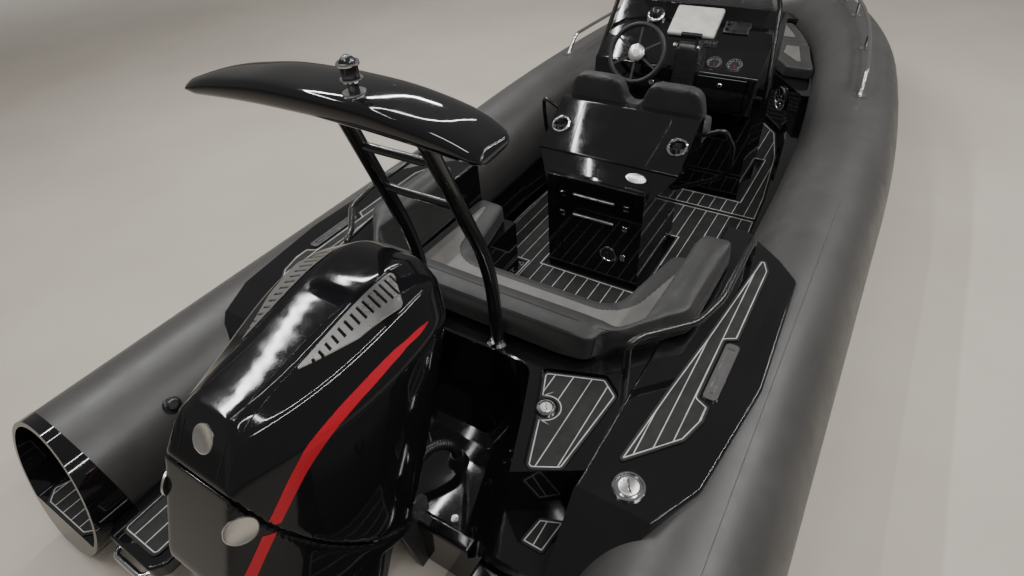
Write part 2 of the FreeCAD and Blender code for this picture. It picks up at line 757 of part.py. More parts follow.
def make_aft_deck():
    """The moulding round the engine well, with a recessed step and a low tread on each side."""
    aft = TRANSOM_T + GAP
    block = box(aft, DECK_FRONT_X, -COAMING_Y, COAMING_Y, BILGE_Z + GAP, DECK_Z)
    wing = box(0, aft, TRANSOM_HALF + GAP, COAMING_Y, HULL_SECTIONS[0][3] + GAP, DECK_Z)
    (corner_x0, corner_y0), (corner_x1, corner_y1) = BENCH_CORNER
    corner = plan_prism([(corner_x0 - SLACK, corner_y0), (corner_x0, corner_y0), (corner_x1, corner_y1),
                         (corner_x0 - SLACK, corner_y1)], BENCH_SEAT_Z + GAP, DECK_Z)
    block = fused([block, wing, mirrored(wing), corner, mirrored(corner)])
    inner = TRANSOM_HALF - GAP
    tread = [(-SLACK, inner), (riser_x(inner), inner), (riser_x(COAMING_Y + SLACK), COAMING_Y + SLACK),
             (-SLACK, COAMING_Y + SLACK)]
    cut = plan_prism(tread, LOW_STEP_Z, DECK_Z + SLACK)
    recess_face = Part.Face(plan_wire(STEP_PAD, RECESS_Z, STEP_PAD_R)).makeOffset2D(RECESS_MARGIN)
    recess = recess_face.extrude(Vector(0, 0, DECK_Z - RECESS_Z + SLACK))
    block = block.cut(cut).cut(mirrored(cut)).cut(recess).cut(mirrored(recess))
    lower, middle, upper = [well_wire(level) for level in WELL_LEVELS]
    well = loft([lower, middle], True).fuse(loft([middle, upper], True))
    nodes["aft_deck"] = largest(block.cut(well).removeSplitter())
    pad = plan_prism(STEP_PAD, RECESS_Z, RECESS_Z + PAD_T, STEP_PAD_R)
    notch = cylinder(STEP_CAP_R + RECESS_MARGIN, 2 * PAD_T, (STEP_CAP_X, STEP_CAP_Y, RECESS_Z), (0, 0, 1))
    pads = [pad.cut(notch), plan_prism(LOW_PAD, LOW_STEP_Z, LOW_STEP_Z + PAD_T, STEP_PAD_R / 2)]
    nodes["step_pads"] = Part.makeCompound(pads + [mirrored(p) for p in pads])


def make_side_decks():
    """Glossy coamings that lap over the tubes beside the bench, with pads and folding cleats."""
    inner_y = COAMING_Y + GAP
    outline = [(0, inner_y)] + SIDE_DECK + [(SIDE_DECK[-1][0], inner_y)]
    block = plan_prism(outline, HULL_SECTIONS[0][3] + GAP, SIDE_DECK_Z, SIDE_DECK_R)
    block = soft_top(block, SIDE_DECK_EDGE_R)
    slope = side_prism([(-SLACK, LOW_STEP_Z), (SIDE_DECK_SLOPE_X, SIDE_DECK_Z + SLACK),
                        (-SLACK, SIDE_DECK_Z + SLACK)], COAMING_Y - SLACK, TUBE_Y + TUBE_R)
    deck = largest(block.cut(tube_solid(TUBE_R + GAP)).cut(slope))
    nodes["side_decks"] = both_sides(deck)
    pad = plan_prism(SIDE_PAD, SIDE_DECK_Z, SIDE_DECK_Z + PAD_T, SIDE_PAD_R)
    nodes["side_pads"] = both_sides(pad)
    plate = plan_prism([(CLEAT_X0, CLEAT_Y - CLEAT_W / 2), (CLEAT_X1, CLEAT_Y - CLEAT_W / 2),
                        (CLEAT_X1, CLEAT_Y + CLEAT_W / 2), (CLEAT_X0, CLEAT_Y + CLEAT_W / 2)],
                       SIDE_DECK_Z, SIDE_DECK_Z + CLEAT_T, CLEAT_W / 3)
    groove_x0 = CLEAT_X0 + CLEAT_W / 2
    groove_x1 = CLEAT_X1 - CLEAT_W / 2
    groove = box(groove_x0, groove_x1, CLEAT_Y - CLEAT_W / 4, CLEAT_Y + CLEAT_W / 4,
                 SIDE_DECK_Z + CLEAT_T / 2, FAR)
    horn = box(groove_x0 + CLEAT_T, groove_x1 - CLEAT_T, CLEAT_Y - CLEAT_W / 8, CLEAT_Y + CLEAT_W / 8,
               SIDE_DECK_Z + CLEAT_T / 4, SIDE_DECK_Z + CLEAT_T)
    nodes["cleats"] = both_sides(fused([plate.cut(groove), horn]))
    caps = [cap_solid(FUEL_CAP_X, FUEL_CAP_Y, SIDE_DECK_Z, FUEL_CAP_R)]
    for side in (1, -1):
        caps.append(cap_solid(STEP_CAP_X, side * STEP_CAP_Y, RECESS_Z, STEP_CAP_R))
    nodes["fuel_caps"] = Part.makeCompound(caps)


def cap_solid(x, y, z, radius):
    """A deck filler cap: a flange, a raised disc and a grip across it."""
    flange = cylinder(radius, CAP_T / 2, (x, y, z), (0, 0, 1))
    disc = cylinder(CAP_DISC_SHARE * radius, CAP_T, (x, y, z), (0, 0, 1))
    hollow = cylinder(CAP_HOLLOW_SHARE * radius, CAP_T, (x, y, z + CAP_T / 2), (0, 0, 1))
    grip = box(x - CAP_DISC_SHARE * radius + 1, x + CAP_DISC_SHARE * radius - 1, y - CAP_T / 3, y + CAP_T / 3,
               z, z + CAP_T)
    return fused([flange, disc.cut(hollow), grip])


def make_platforms():
    outline = [(-GAP, PLATFORM_IN_Y), (-GAP, PLATFORM_OUT_Y), (40 - PLATFORM_L, PLATFORM_OUT_Y - 25),
               (-PLATFORM_L, PLATFORM_OUT_Y - 60), (-PLATFORM_L, PLATFORM_IN_Y + 35),
               (40 - PLATFORM_L, PLATFORM_IN_Y)]
    slab = plan_prism(outline, PLATFORM_Z - PLATFORM_T, PLATFORM_Z, [0, 0, 30, 30, 30, 30])
    slab = soft_top(slab, PLATFORM_EDGE_R)
    beside = (-1.5 * PLATFORM_L, TUBE_Y, TUBE_Z)
    round_side = cylinder(TUBE_R + CAP_LIP + GAP, 2 * PLATFORM_L, beside, (1, 0, 0))
    nodes["swim_platforms"] = both_sides(slab.cut(round_side))
    y0 = PLATFORM_IN_Y + PLATFORM_PAD_MARGIN
    y1 = PLATFORM_OUT_Y - 2 * PLATFORM_PAD_MARGIN
    pad = plan_prism([(-60, y0), (-60, y1), (PLATFORM_PAD_MARGIN - PLATFORM_L, y1 - 10),
                      (PLATFORM_PAD_MARGIN - PLATFORM_L, y0 + 10)], PLATFORM_Z, PLATFORM_Z + PAD_T, 25)
    nodes["platform_pads"] = both_sides(pad)
    z = PLATFORM_Z - PLATFORM_T - GAP - LADDER_R
    aft = -PLATFORM_L - LADDER_AFT
    frame = [round_bar([(LADDER_FRONT_X, LADDER_Y0, z), (aft, LADDER_Y0, z), (aft, LADDER_Y1, z),
                        (LADDER_FRONT_X, LADDER_Y1, z)], LADDER_R, 2.5 * LADDER_R)]
    for x in LADDER_STEPS:
        frame.append(box(x - LADDER_R, x + LADDER_R, LADDER_Y0, LADDER_Y1,
                         z - LADDER_R / 2, z + LADDER_R / 2))
    nodes["ladder"] = fused(frame)


def make_bench():
    """A U of seats round the cockpit's aft end; the bolster leans over the decks beside it."""
    base_z = BENCH_SEAT_Z - BENCH_PAD_T
    low = FLOOR_T + GAP
    legs = [box(DECK_FRONT_X + GAP, BENCH_FRONT_X, -COAMING_Y, COAMING_Y, low, base_z)]
    for side in (1, -1):
        y0, y1 = sorted((side * BENCH_LEG_Y, side * COAMING_Y))
        legs.append(box(BENCH_FRONT_X, BENCH_END_X - 20, y0, y1, low, base_z))
    nodes["bench_base"] = fused(legs)
    back_x = DECK_FRONT_X + GAP
    inner_x = back_x + BENCH_BACK_T
    cushion = plan_prism(across([(back_x, COAMING_Y - SLACK)] + [(x, y) for x, y in BENCH_PAD]),
                         base_z + GAP, BENCH_SEAT_Z, [20, 40, 60, 120, 120, 60, 40, 20])
    nodes["bench_cushion"] = soft_top(cushion, BENCH_EDGE_R)
    inner_y = BOLSTER_IN[0][1]
    end_x = BOLSTER_OUT[-1][0]
    low_outline = [(back_x, BENCH_CORNER[0][1] - 5), (BENCH_CORNER[1][0] + 1, COAMING_Y - SLACK),
                   (end_x, COAMING_Y - SLACK), (end_x, inner_y),
                   (inner_x + 50, inner_y), (inner_x, inner_y - 60)]
    lower = plan_prism(across(low_outline), BENCH_SEAT_Z + GAP, (SIDE_DECK_Z + BENCH_BACK_Z) / 2)
    outline = list(BOLSTER_OUT[1:]) + list(BOLSTER_IN[:-1])
    upper = plan_prism(across(outline), SIDE_DECK_Z + PAD_T + GAP, BENCH_BACK_Z,
                       [60, 40, 80, 40, 40, 60, 40, 40, 60, 40, 40, 80, 40, 60])
    upper = soft_top(upper, BOLSTER_EDGE_R)
    nodes["bench_backrest"] = fused([lower, upper])


def make_bench_rails():
    (x0, y0), (x1, y1) = RAIL_PATH[0], RAIL_PATH[-1]
    points = [(x0, y0, DECK_Z + GAP), (x0, y0, RAIL_Z)] + [(x, y, RAIL_Z) for x, y in RAIL_PATH[1:]]
    points.append((x1, y1, SIDE_DECK_Z + GAP))
    rail = round_bar(points, RAIL_R, [30, 50, 110, 300, 60])
    nodes["bench_rails"] = both_sides(rail)


def leg_at(z):
    """X and y of the port mast leg's centreline above its bend."""
    share = (z - LEG_BEND_Z) / (LEG_TOP[2] - LEG_BEND_Z)
    return LEG_X + share * (LEG_TOP[0] - LEG_X), LEG_Y + share * (LEG_TOP[1] - LEG_Y)


def wing_frame(y, front_x, low, high):
    nose_z = (low + high) / 2
    return polygon([(WING_AFT_X, y, low + WING_EDGE), (WING_AFT_X, y, high - WING_EDGE),
                    (WING_AFT_X + 2 * WING_EDGE, y, high), (front_x - 5 * WING_EDGE, y, high),
                    (front_x - WING_EDGE, y, nose_z + WING_EDGE), (front_x, y, nose_z),
                    (front_x - WING_EDGE, y, nose_z - WING_EDGE), (front_x - 5 * WING_EDGE, y, low),
                    (WING_AFT_X + 2 * WING_EDGE, y, low)])


def make_mast():
    path = [(LEG_X, LEG_Y, DECK_Z), (LEG_X, LEG_Y, LEG_BEND_Z), LEG_TOP]
    leg = round_bar(path, LEG_R, [LEG_BEND_R])
    pieces = [leg, mirrored(leg)]
    for z in RUNG_Z:
        x, y = leg_at(z)
        pieces.append(cylinder(RUNG_R, 2 * y, (x, -y, z), (0, 1, 0)))
    flange = Part.makeCone(FLANGE_R, FLANGE_R - FLANGE_T, FLANGE_T, Vector(LEG_X, LEG_Y, DECK_Z))
    leg_hole = cylinder(LEG_R + GAP, 2 * FLANGE_T, (LEG_X, LEG_Y, DECK_Z), (0, 0, 1))
    nodes["mast_flanges"] = both_sides(flange.cut(leg_hole))
    frames = [wing_frame(share * WING_HALF, *rest) for share, *rest in WING_SECTIONS]
    frames = [wing_frame(-share * WING_HALF, *rest) for share, *rest in reversed(WING_SECTIONS[1:])] + frames
    wing = loft(frames, True)
    nodes["mast_wing"] = wing
    nodes["mast_legs"] = fused(pieces).cut(wing)
    low_z = WING_SECTIONS[0][2]
    top_z = WING_SECTIONS[0][3]
    light = fused([cylinder(LIGHT_R, top_z - low_z + LIGHT_FOOT, (LIGHT_X, LIGHT_Y, low_z), (0, 0, 1)),
                   cylinder(0.6 * LIGHT_R, top_z - low_z + LIGHT_H, (LIGHT_X, LIGHT_Y, low_z), (0, 0, 1)),
                   cylinder(0.9 * LIGHT_R, LIGHT_H - 2 * LIGHT_FOOT,
                            (LIGHT_X, LIGHT_Y, top_z + 2 * LIGHT_FOOT), (0, 0, 1))])
    nodes["mast_light"] = largest(light.cut(wing).cut(box(0, FAR, -FAR, FAR, 0, low_z + SLACK)))


def tilt(shape):
    moved = shape.copy()
    moved.translate(Vector(TILT_X, 0, TILT_Z))
    moved.rotate(Vector(TILT_X, 0, TILT_Z), Vector(0, 1, 0), TILT_DEG)
    return moved


def cowl_form(grow):
    """The engine cover's body, grown or shrunk all over: lofted frames met with its side outline."""
    frames = []
    widest = max(frame[1] for frame in COWL_FRAMES)
    for x, half, ridge, roof in COWL_FRAMES:
        side = half + grow
        top = roof + grow
        bevel = ridge + BEVEL_SHARE * (side - ridge)
        port = [(side, COWL_BASE_Z - SHOULDER_DROP), (side, top - SHOULDER_DROP),
                (bevel, top - BEVEL_DROP), (ridge, top)]
        outline = port + [(-y, z) for y, z in reversed(port)]
        scale = half / widest
        radii = [radius * scale for radius in COWL_CORNERS]
        frames.append(rounded_wire(outline, radii + radii[::-1], lambda p, x=x: Vector(x, p.x, p.y)))
    body = loft(frames)
    wire = rounded_wire([(x, z) for x, z, radius in COWL_SIDE], [radius for x, z, radius in COWL_SIDE],
                        lambda p: Vector(p.x, -2 * widest, p.y))
    face = Part.Face(wire)
    if grow:
        face = face.makeOffset2D(grow)
    return body.common(face.extrude(Vector(0, 4 * widest, 0)))


def above_seam(drop):
    """All that lies above the curved seam between the two covers."""
    half = -FAR / 2
    far_x = COWL_SIDE[3][0] - FAR / 5
    outline = [(far_x, SEAM_AFT_Z), (SEAM_CORNER_X, SEAM_AFT_Z), SEAM_MID, SEAM_FRONT,
               (FAR / 5, SEAM_FRONT[1] - SEAM_FALL), (FAR / 5, FAR), (far_x, FAR)]
    points = [Vector(x, half, z - drop) for x, z in outline]
    edges = [Part.LineSegment(points[0], points[1]).toShape(), Part.Arc(*points[1:4]).toShape()]
    for a, b in zip(points[3:], points[4:] + points[:1]):
        edges.append(Part.LineSegment(a, b).toShape())
    return Part.Face(Part.Wire(edges)).extrude(Vector(0, FAR, 0))


def make_engine_cover():
    """A hollow upper cowl over a hollow pan, with a notch in front for the steering head."""
    outer = cowl_form(0)
    inner = cowl_form(-COWL_WALL)
    nodes["engine_cowl"] = tilt(largest(outer.cut(inner).common(above_seam(0))))
    inner_top = inner.common(box(-FAR, FAR, -FAR, FAR, PAN_FLOOR_Z, FAR))
    slot = box(STEER_X - 145, STEER_X + 145, -48, 48, -YOKE_T - 3, 3)
    lower = outer.cut(inner_top).cut(above_seam(SEAM_GAP)).cut(slot)
    reach = FAR / 5
    front = STEER_X - 8
    side = front - reach * math.tan(math.radians(STEER_LIMIT_DEG))
    relief = plan_prism([(reach, -reach), (reach, reach), (side, reach), (front, 0), (side, -reach)],
                        -reach, PAN_FLOOR_Z + 20)
    lower = lower.cut(relief).cut(cylinder(YOKE_R + 7, 160, (STEER_X, 0, -100), (0, 0, 1)))
    nodes["engine_lower_cowl"] = tilt(largest(lower))
    nodes["powerhead"] = tilt(box(-540, -150, -POWERHEAD_HALF, POWERHEAD_HALF, PAN_FLOOR_Z + GAP, 500))
    blade = cowl_form(VENT_T).cut(cowl_form(GAP)).common(plan_prism(VENT, 0, FAR, [2, 12, 12, 60]))
    tip_x, tip_y = VENT[0]
    root_x = VENT[1][0]
    pitch = (root_x - tip_x) / (VENT_SLOTS + 2)
    for k in range(1, VENT_SLOTS + 1):
        x = tip_x + (k + 0.8) * pitch
        slot_y = tip_y + VENT_BORDER
        slot_l = VENT_SLOT_L * (k + 3) / VENT_SLOTS
        blade = blade.cut(box(x, x + VENT_SLOT_W, slot_y, slot_y + slot_l, 0, FAR))
    nodes["vent_grilles"] = tilt(both_sides(largest(blade)))


def leaf_section(x0, x1, half, z):
    """A leaf-shaped section of the leg: two arcs that meet at its nose and tail."""
    nose = Vector(x1, 0, z)
    tail = Vector(x0, 0, z)
    middle = (x0 + x1) / 2
    return Part.Wire([Part.Arc(nose, Vector(middle, half, z), tail).toShape(),
                      Part.Arc(tail, Vector(middle, -half, z), nose).toShape()])


def make_engine_leg():
    leg = loft([leaf_section(*row) for row in LEG_SECTIONS], True)
    kingpin = cylinder(KINGPIN_R, -SWIVEL_LOW, (STEER_X, 0, SWIVEL_LOW), (0, 0, 1))
    pieces = [leg, kingpin]
    for low in (-YOKE_T, SWIVEL_LOW - YOKE_T):
        pieces.append(box(-200, STEER_X, -YOKE_R, YOKE_R, low, low + YOKE_T))
        pieces.append(cylinder(YOKE_R, YOKE_T, (STEER_X, 0, low), (0, 0, 1)))
    nodes["engine_midsection"] = tilt(fused(pieces))
    low = -PLATE_DROP - GAP
    plate = plan_prism(PLATE_OUTLINE, low - PLATE_T, low, PLATE_CORNERS)
    strut = loft([leaf_section(*row) for row in STRUT_SECTIONS], True)
    profile = [Vector(x, 0, r - PROP_AXIS_DROP) for x, r in TORPEDO + [(TORPEDO_AFT, PROP_HUB_R + 5)]]
    profile.append(Vector(TORPEDO_AFT, 0, -PROP_AXIS_DROP))
    torpedo = Part.Face(Part.makePolygon(profile + [profile[0]]))
    torpedo = torpedo.revolve(Vector(0, 0, -PROP_AXIS_DROP), Vector(1, 0, 0), 360)
    foot = -PROP_AXIS_DROP - SKEG_DROP
    skeg_side = [(x, -PROP_AXIS_DROP) for x in SKEG_TOP_X] + [(x, foot) for x in SKEG_FOOT_X]
    skeg = side_prism(skeg_side, -SKEG_T / 2, SKEG_T / 2)
    nodes["engine_gearcase"] = tilt(fused([plate, strut, torpedo, skeg]))


def make_propeller():
    hub_aft = PROP_X - 70
    pieces = [cylinder(PROP_HUB_R, TORPEDO_AFT - GAP - hub_aft, (hub_aft, 0, -PROP_AXIS_DROP), (1, 0, 0))]
    for k in range(PROP_BLADES):
        wires = []
        for radius, half, pitch in BLADE_SECTIONS:
            lean = math.radians(pitch)
            along = Vector(math.sin(lean), math.cos(lean), 0) * half
            out = Vector(math.cos(lean), -math.sin(lean), 0) * BLADE_HALF_T
            up = Vector(0, 0, radius)
            wires.append(polygon([up + along + out, up + along - out, up - along - out, up - along + out]))
        blade = loft(wires, True)
        blade.rotate(Vector(0, 0, 0), Vector(1, 0, 0), 360 / PROP_BLADES * k)
        blade.translate(Vector(PROP_X - 10, 0, -PROP_AXIS_DROP))
        pieces.append(blade)
    nodes["propeller"] = tilt(fused(pieces))


def make_engine_brackets():
    """Clamp plates on the transom, a tilt tube through them and a swivel bracket that hangs from it."""
    outer = BRACKET_Y + BRACKET_T
    low = TRANSOM_Z - TILT_Z + GAP
    outline = CLAMP_SIDE + [(-GAP, low), (CLAMP_SIDE[0][0], low)]
    pieces = []
    for y in (BRACKET_Y, -outer):
        pieces.append(side_prism(outline, y, y + BRACKET_T, CLAMP_R))
    pieces.append(cylinder(TILT_TUBE_R, 2 * outer + 20, (0, -outer - 10, 0), (0, 1, 0)))
    pieces.append(box(-2, 68, -BRACKET_Y, BRACKET_Y, low, low + 18))
    clamp = fused(pieces)
    clamp.translate(Vector(TILT_X, 0, TILT_Z))
    nodes["clamp_bracket"] = clamp
    length = SWIVEL_TOP - SWIVEL_LOW - 2 * GAP
    barrel = cylinder(YOKE_R - 1, length, (STEER_X, 0, SWIVEL_LOW + GAP), (0, 0, 1))
    arms = side_prism(ARM_SIDE, -ARM_HALF, ARM_HALF, 8)
    arms = arms.cut(box(-300, 100, 40 - ARM_HALF, ARM_HALF - 40, -500, -70))
    swivel = barrel.fuse(arms).fuse(cylinder(34, 2 * ARM_HALF, (0, -ARM_HALF, 0), (0, 1, 0)))
    swivel = swivel.cut(cylinder(TILT_TUBE_R + PIN_GAP, 400, (0, -200, 0), (0, 1, 0)))
    swivel = swivel.cut(cylinder(KINGPIN_R + PIN_GAP, 400, (STEER_X, 0, -350), (0, 0, 1)))
    swivel = swivel.cut(cylinder(YOKE_R + 15, 90, (STEER_X, 0, SWIVEL_TOP - GAP), (0, 0, 1)))
    nodes["swivel_bracket"] = tilt(swivel)


def make_rigging():
    """The corrugated hose that carries cables and fuel from the boat, and the boot that it comes out of."""
    runs = [(Vector(*b) - Vector(*a)) for a, b in zip(HOSE_ROUTE, HOSE_ROUTE[1:])]
    bends = []
    for before, after in zip(runs, runs[1:]):
        reach = HOSE_BEND_SHARE * min(before.Length, after.Length)
        bends.append(reach / math.tan(before.getAngle(after) / 2))
    nodes["rigging_hoses"] = round_bar(HOSE_ROUTE, HOSE_R, bends)
    x, y, z = HOSE_ROUTE[0]
    boot = Part.makeCone(BOOT_R, HOSE_R + 6, BOOT_H, Vector(x, y, WELL_FLOOR_Z))
    nodes["hose_boot"] = boot


def make_helm_seat():
    lower = box(BOX_X0, BOX_X1, -BOX_HALF, BOX_HALF, FLOOR_T + GAP, BOX_SHOULDER_Z)
    shoulder = []
    shoulder_z = BOX_SHOULDER_Z - BOX_SHOULDER_R
    for x0, half, z in ((BOX_X0, BOX_HALF, shoulder_z), (BOX_TOP_X0, BOX_TOP_HALF, BOX_TOP_Z)):
        shoulder.append(polygon([(x0, -half, z), (BOX_X1, -half, z), (BOX_X1, half, z), (x0, half, z)]))
    hood = side_prism([(BOX_TOP_X0, BOX_TOP_Z - 20), (BOX_TOP_X0, BOX_TOP_Z + 10), (HOOD_X, HOOD_Z),
                       (HOOD_X1, HOOD_Z), (HOOD_X1, BOX_TOP_Z - 20)],
                      -BOX_TOP_HALF, BOX_TOP_HALF, [0, 10, 20, 10, 0])
    hollow = box(BOX_X0 - SLACK, BOX_X1 - CONSOLE_WALL, -DOOR_HALF, DOOR_HALF, DOOR_Z0, DOOR_Z1)
    body = fused([lower.cut(hollow), loft(shoulder, True), hood])
    cup_y = BOX_TOP_HALF - CUP_SIDE
    for name, z0, height in zip(("low", "high"), DRAWER_Z, DRAWER_H):
        gap = DRAWER_GAP
        body = body.cut(box(BOX_X0 - SLACK, DRAWER_X1 + gap, -DRAWER_HALF - gap, DRAWER_HALF + gap,
                            z0 - gap, z0 + height + gap))
        outer = box(DRAWER_X0, DRAWER_X1, -DRAWER_HALF, DRAWER_HALF, z0 - gap + GAP, z0 + height)
        inner = box(DRAWER_X0 + 12, DRAWER_X1 - 8, 8 - DRAWER_HALF, DRAWER_HALF - 8, z0 + 6, z0 + height + 1)
        nodes["seat_drawer_" + name] = outer.cut(inner)
    cups = []
    for y in (-cup_y, cup_y):
        body = body.cut(cylinder(CUP_R, FAR, (CUP_X, y, CUP_FLOOR_Z), (0, 0, 1)))
        cup = cylinder(CUP_R - GAP, CUP_H, (CUP_X, y, CUP_FLOOR_Z + GAP), (0, 0, 1))
        cups.append(cup.cut(cylinder(CUP_R - CUP_T, CUP_H, (CUP_X, y, CUP_FLOOR_Z + CUP_T), (0, 0, 1))))
    nodes["seat_box"] = body
    nodes["cup_holders"] = Part.makeCompound(cups)
    door = box(BOX_X0, BOX_X0 + DOOR_T, 2 - DOOR_HALF, DOOR_HALF - 2, DOOR_Z0 + 2, DOOR_Z1 - 2)
    hinge_x = BOX_X0 - HINGE_R - GAP
    barrel = cylinder(HINGE_R, DOOR_Z1 - DOOR_Z0 - 80, (hinge_x, DOOR_HALF - 2, DOOR_Z0 + 40), (0, 0, 1))
    leaf = box(hinge_x, BOX_X0, DOOR_HALF - 30, DOOR_HALF - 2, DOOR_Z0 + 40, DOOR_Z1 - 40)
    nodes["seat_box_door"] = fused([door, barrel, leaf])
    pad_half = (BOX_TOP_HALF - BACKREST_GAP / 2) / 2
    pad_y = BACKREST_GAP / 2 + pad_half
    seats = []
    backs = []
    for y in (-pad_y, pad_y):
        seat = plan_prism(rectangle(SEAT_PAD_X0, SEAT_PAD_END_X, y - pad_half, y + pad_half),
                          BOX_TOP_Z + GAP, BOX_TOP_Z + SEAT_PAD_T, SEAT_PAD_R)
        seats.append(soft_top(seat, BENCH_EDGE_R))
        top_half = pad_half - BACKREST_TAPER
        back = end_prism([(y - pad_half, BACKREST_LOW_Z), (y - top_half, BACKREST_TOP_Z),
                          (y + top_half, BACKREST_TOP_Z), (y + pad_half, BACKREST_LOW_Z)],
                         HOOD_X1 + GAP, HOOD_X1 + BACKREST_T, BACKREST_R)
        backs.append(back)
    nodes["helm_cushions"] = Part.makeCompound(seats)
    nodes["helm_backrests"] = Part.makeCompound(backs)
    out = BOX_TOP_HALF + HANDLE_OUT
    path = [(HOOD_X, BOX_TOP_HALF + GAP, 800), (HOOD_X, out - 40, 860), (HOOD_X + 70, out, 740),
            (HOOD_X + 100, out, 560), (HOOD_X + 60, BOX_HALF + GAP, HANDLE_LOW_Z)]
    handle = round_bar(path, HANDLE_R, HANDLE_BENDS)
    nodes["seat_handles"] = both_sides(largest(handle.cut(body)))


def dash_x(z):
    """X of the dash's lower face, which leans, at the height z."""
    (x0, z0, r0), (x1, z1, r1) = CONSOLE_SIDE[1:3]
    return x0 + (z - z0) * (x1 - x0) / (z1 - z0)


def wheel_placed(shape):
    shape.rotate(Vector(0, 0, 0), Vector(0, 1, 0), 90 + WHEEL_LEAN_DEG)
    shape.translate(Vector(WHEEL_X, WHEEL_Y, WHEEL_Z))
    return shape


def make_console():
    """A leaning console with a hollow foot, a glovebox, a binnacle, a plotter and a seat in front."""
    low = FLOOR_T + GAP
    outline = [(CONSOLE_FOOT_X, low)] + [(x, z) for x, z, r in CONSOLE_SIDE] + [(CONSOLE_SIDE[-1][0], low)]
    body = side_prism(outline, -CONSOLE_HALF, CONSOLE_HALF, [0] + [r for x, z, r in CONSOLE_SIDE] + [0])
    front = CONSOLE_SIDE[-1][0]
    aft = CONSOLE_SIDE[1][0]
    plan = rectangle(aft - SLACK, front + SLACK, -CONSOLE_HALF, CONSOLE_HALF)
    rounded = plan_prism(plan, 0, FAR, CONSOLE_PLAN_R)
    body = body.common(rounded)
    hollow = box(CONSOLE_FOOT_X + CONSOLE_WALL, front - 2 * CONSOLE_WALL, CONSOLE_WALL - CONSOLE_HALF,
                 CONSOLE_HALF - CONSOLE_WALL, low + CONSOLE_WALL, CONSOLE_HOLLOW_Z)
    glove = box(aft - 20, aft + GLOVE_DEPTH, GLOVE_Y0, GLOVE_Y1, GLOVE_Z0, GLOVE_Z1)
    forward = Vector(math.cos(math.radians(WHEEL_LEAN_DEG)), 0, -math.sin(math.radians(WHEEL_LEAN_DEG)))
    hub_face = Vector(WHEEL_X, WHEEL_Y, WHEEL_Z) + forward * (HUB_BACK + GAP)
    column = Part.makeCylinder(COLUMN_R, COLUMN_L, hub_face, forward)
    end_x = front + CONSOLE_SEAT_L
    bench = plan_prism(rectangle(front - CONSOLE_WALL, end_x, -CONSOLE_SEAT_HALF, CONSOLE_SEAT_HALF),
                       low, CONSOLE_SEAT_Z, [0, 60, 60, 0])
    console = fused([body.cut(hollow).cut(glove), column, soft_top(bench, CONSOLE_SEAT_R)])
    half = CONSOLE_SEAT_HALF - CONSOLE_PAD_MARGIN
    seat = plan_prism(rectangle(front + GAP, end_x - CONSOLE_PAD_FRONT, -half, half),
                      CONSOLE_SEAT_Z + GAP, CONSOLE_SEAT_Z + CONSOLE_PAD_T, [30, 60, 60, 30])
    nodes["console_seat"] = soft_top(seat, BENCH_EDGE_R)
    lid = side_prism([(dash_x(GLOVE_Z0) - LID_OUT, GLOVE_Z0 + 2), (dash_x(GLOVE_Z1) - LID_OUT, GLOVE_Z1 - 2),
                      (dash_x(GLOVE_Z1) + LID_IN, GLOVE_Z1 - 2), (dash_x(GLOVE_Z0) + LID_IN, GLOVE_Z0 + 2)],
                     GLOVE_Y0 + 2, GLOVE_Y1 - 2)
    hinge_x = dash_x(GLOVE_Z0) - HINGE_R - 2 * GAP
    barrel = cylinder(HINGE_R, GLOVE_Y1 - GLOVE_Y0 - 80, (hinge_x, GLOVE_Y0 + 40, GLOVE_Z0), (0, 1, 0))
    nodes["glovebox_lid"] = fused([lid, barrel])
    binnacle = side_prism(THROTTLE_SIDE, THROTTLE_Y0, THROTTLE_Y1, 14)
    lever = cylinder(9, 70, (2876, THROTTLE_Y0 + 30, 990), (0.2, 0, 1))
    grip = cylinder(14, 120, (2888, THROTTLE_Y0 + 10, 1058), (0, 1, 0))
    nodes["throttle_box"] = largest(fused([binnacle, lever, grip]).cut(console))
    plotter = box(-PLOTTER_H / 2, PLOTTER_H / 2, -PLOTTER_W / 2, PLOTTER_W / 2, -PLOTTER_T, 0)
    corners = [e for e in plotter.Edges if abs(e.Vertexes[0].Z - e.Vertexes[-1].Z) > 1]
    plotter = plotter.makeFillet(PLOTTER_R, corners)
    plotter.rotate(Vector(0, 0, 0), Vector(0, 1, 0), -PLOTTER_LEAN_DEG)
    plotter.rotate(Vector(0, 0, 0), Vector(0, 0, 1), PLOTTER_YAW_DEG)
    plotter.translate(Vector(PLOTTER_X, PLOTTER_Y, PLOTTER_Z))
    nodes["plotter"] = largest(plotter.cut(console))
    nodes["console"] = console
    make_wheel()
    make_windshield()


def make_wheel():
    ring = Part.makeTorus(WHEEL_R, WHEEL_RIM_R, Vector(0, 0, 0), Vector(0, 0, 1))
    pieces = [ring, cylinder(42, HUB_BACK + 10, (0, 0, -10), (0, 0, 1))]
    for k in range(WHEEL_SPOKES):
        spoke = box(30, WHEEL_R, -6, 6, -4, 4)
        spoke.rotate(Vector(0, 0, 0), Vector(0, 0, 1), 360 / WHEEL_SPOKES * k)
        pieces.append(spoke)
    nodes["steering_wheel"] = wheel_placed(fused(pieces))


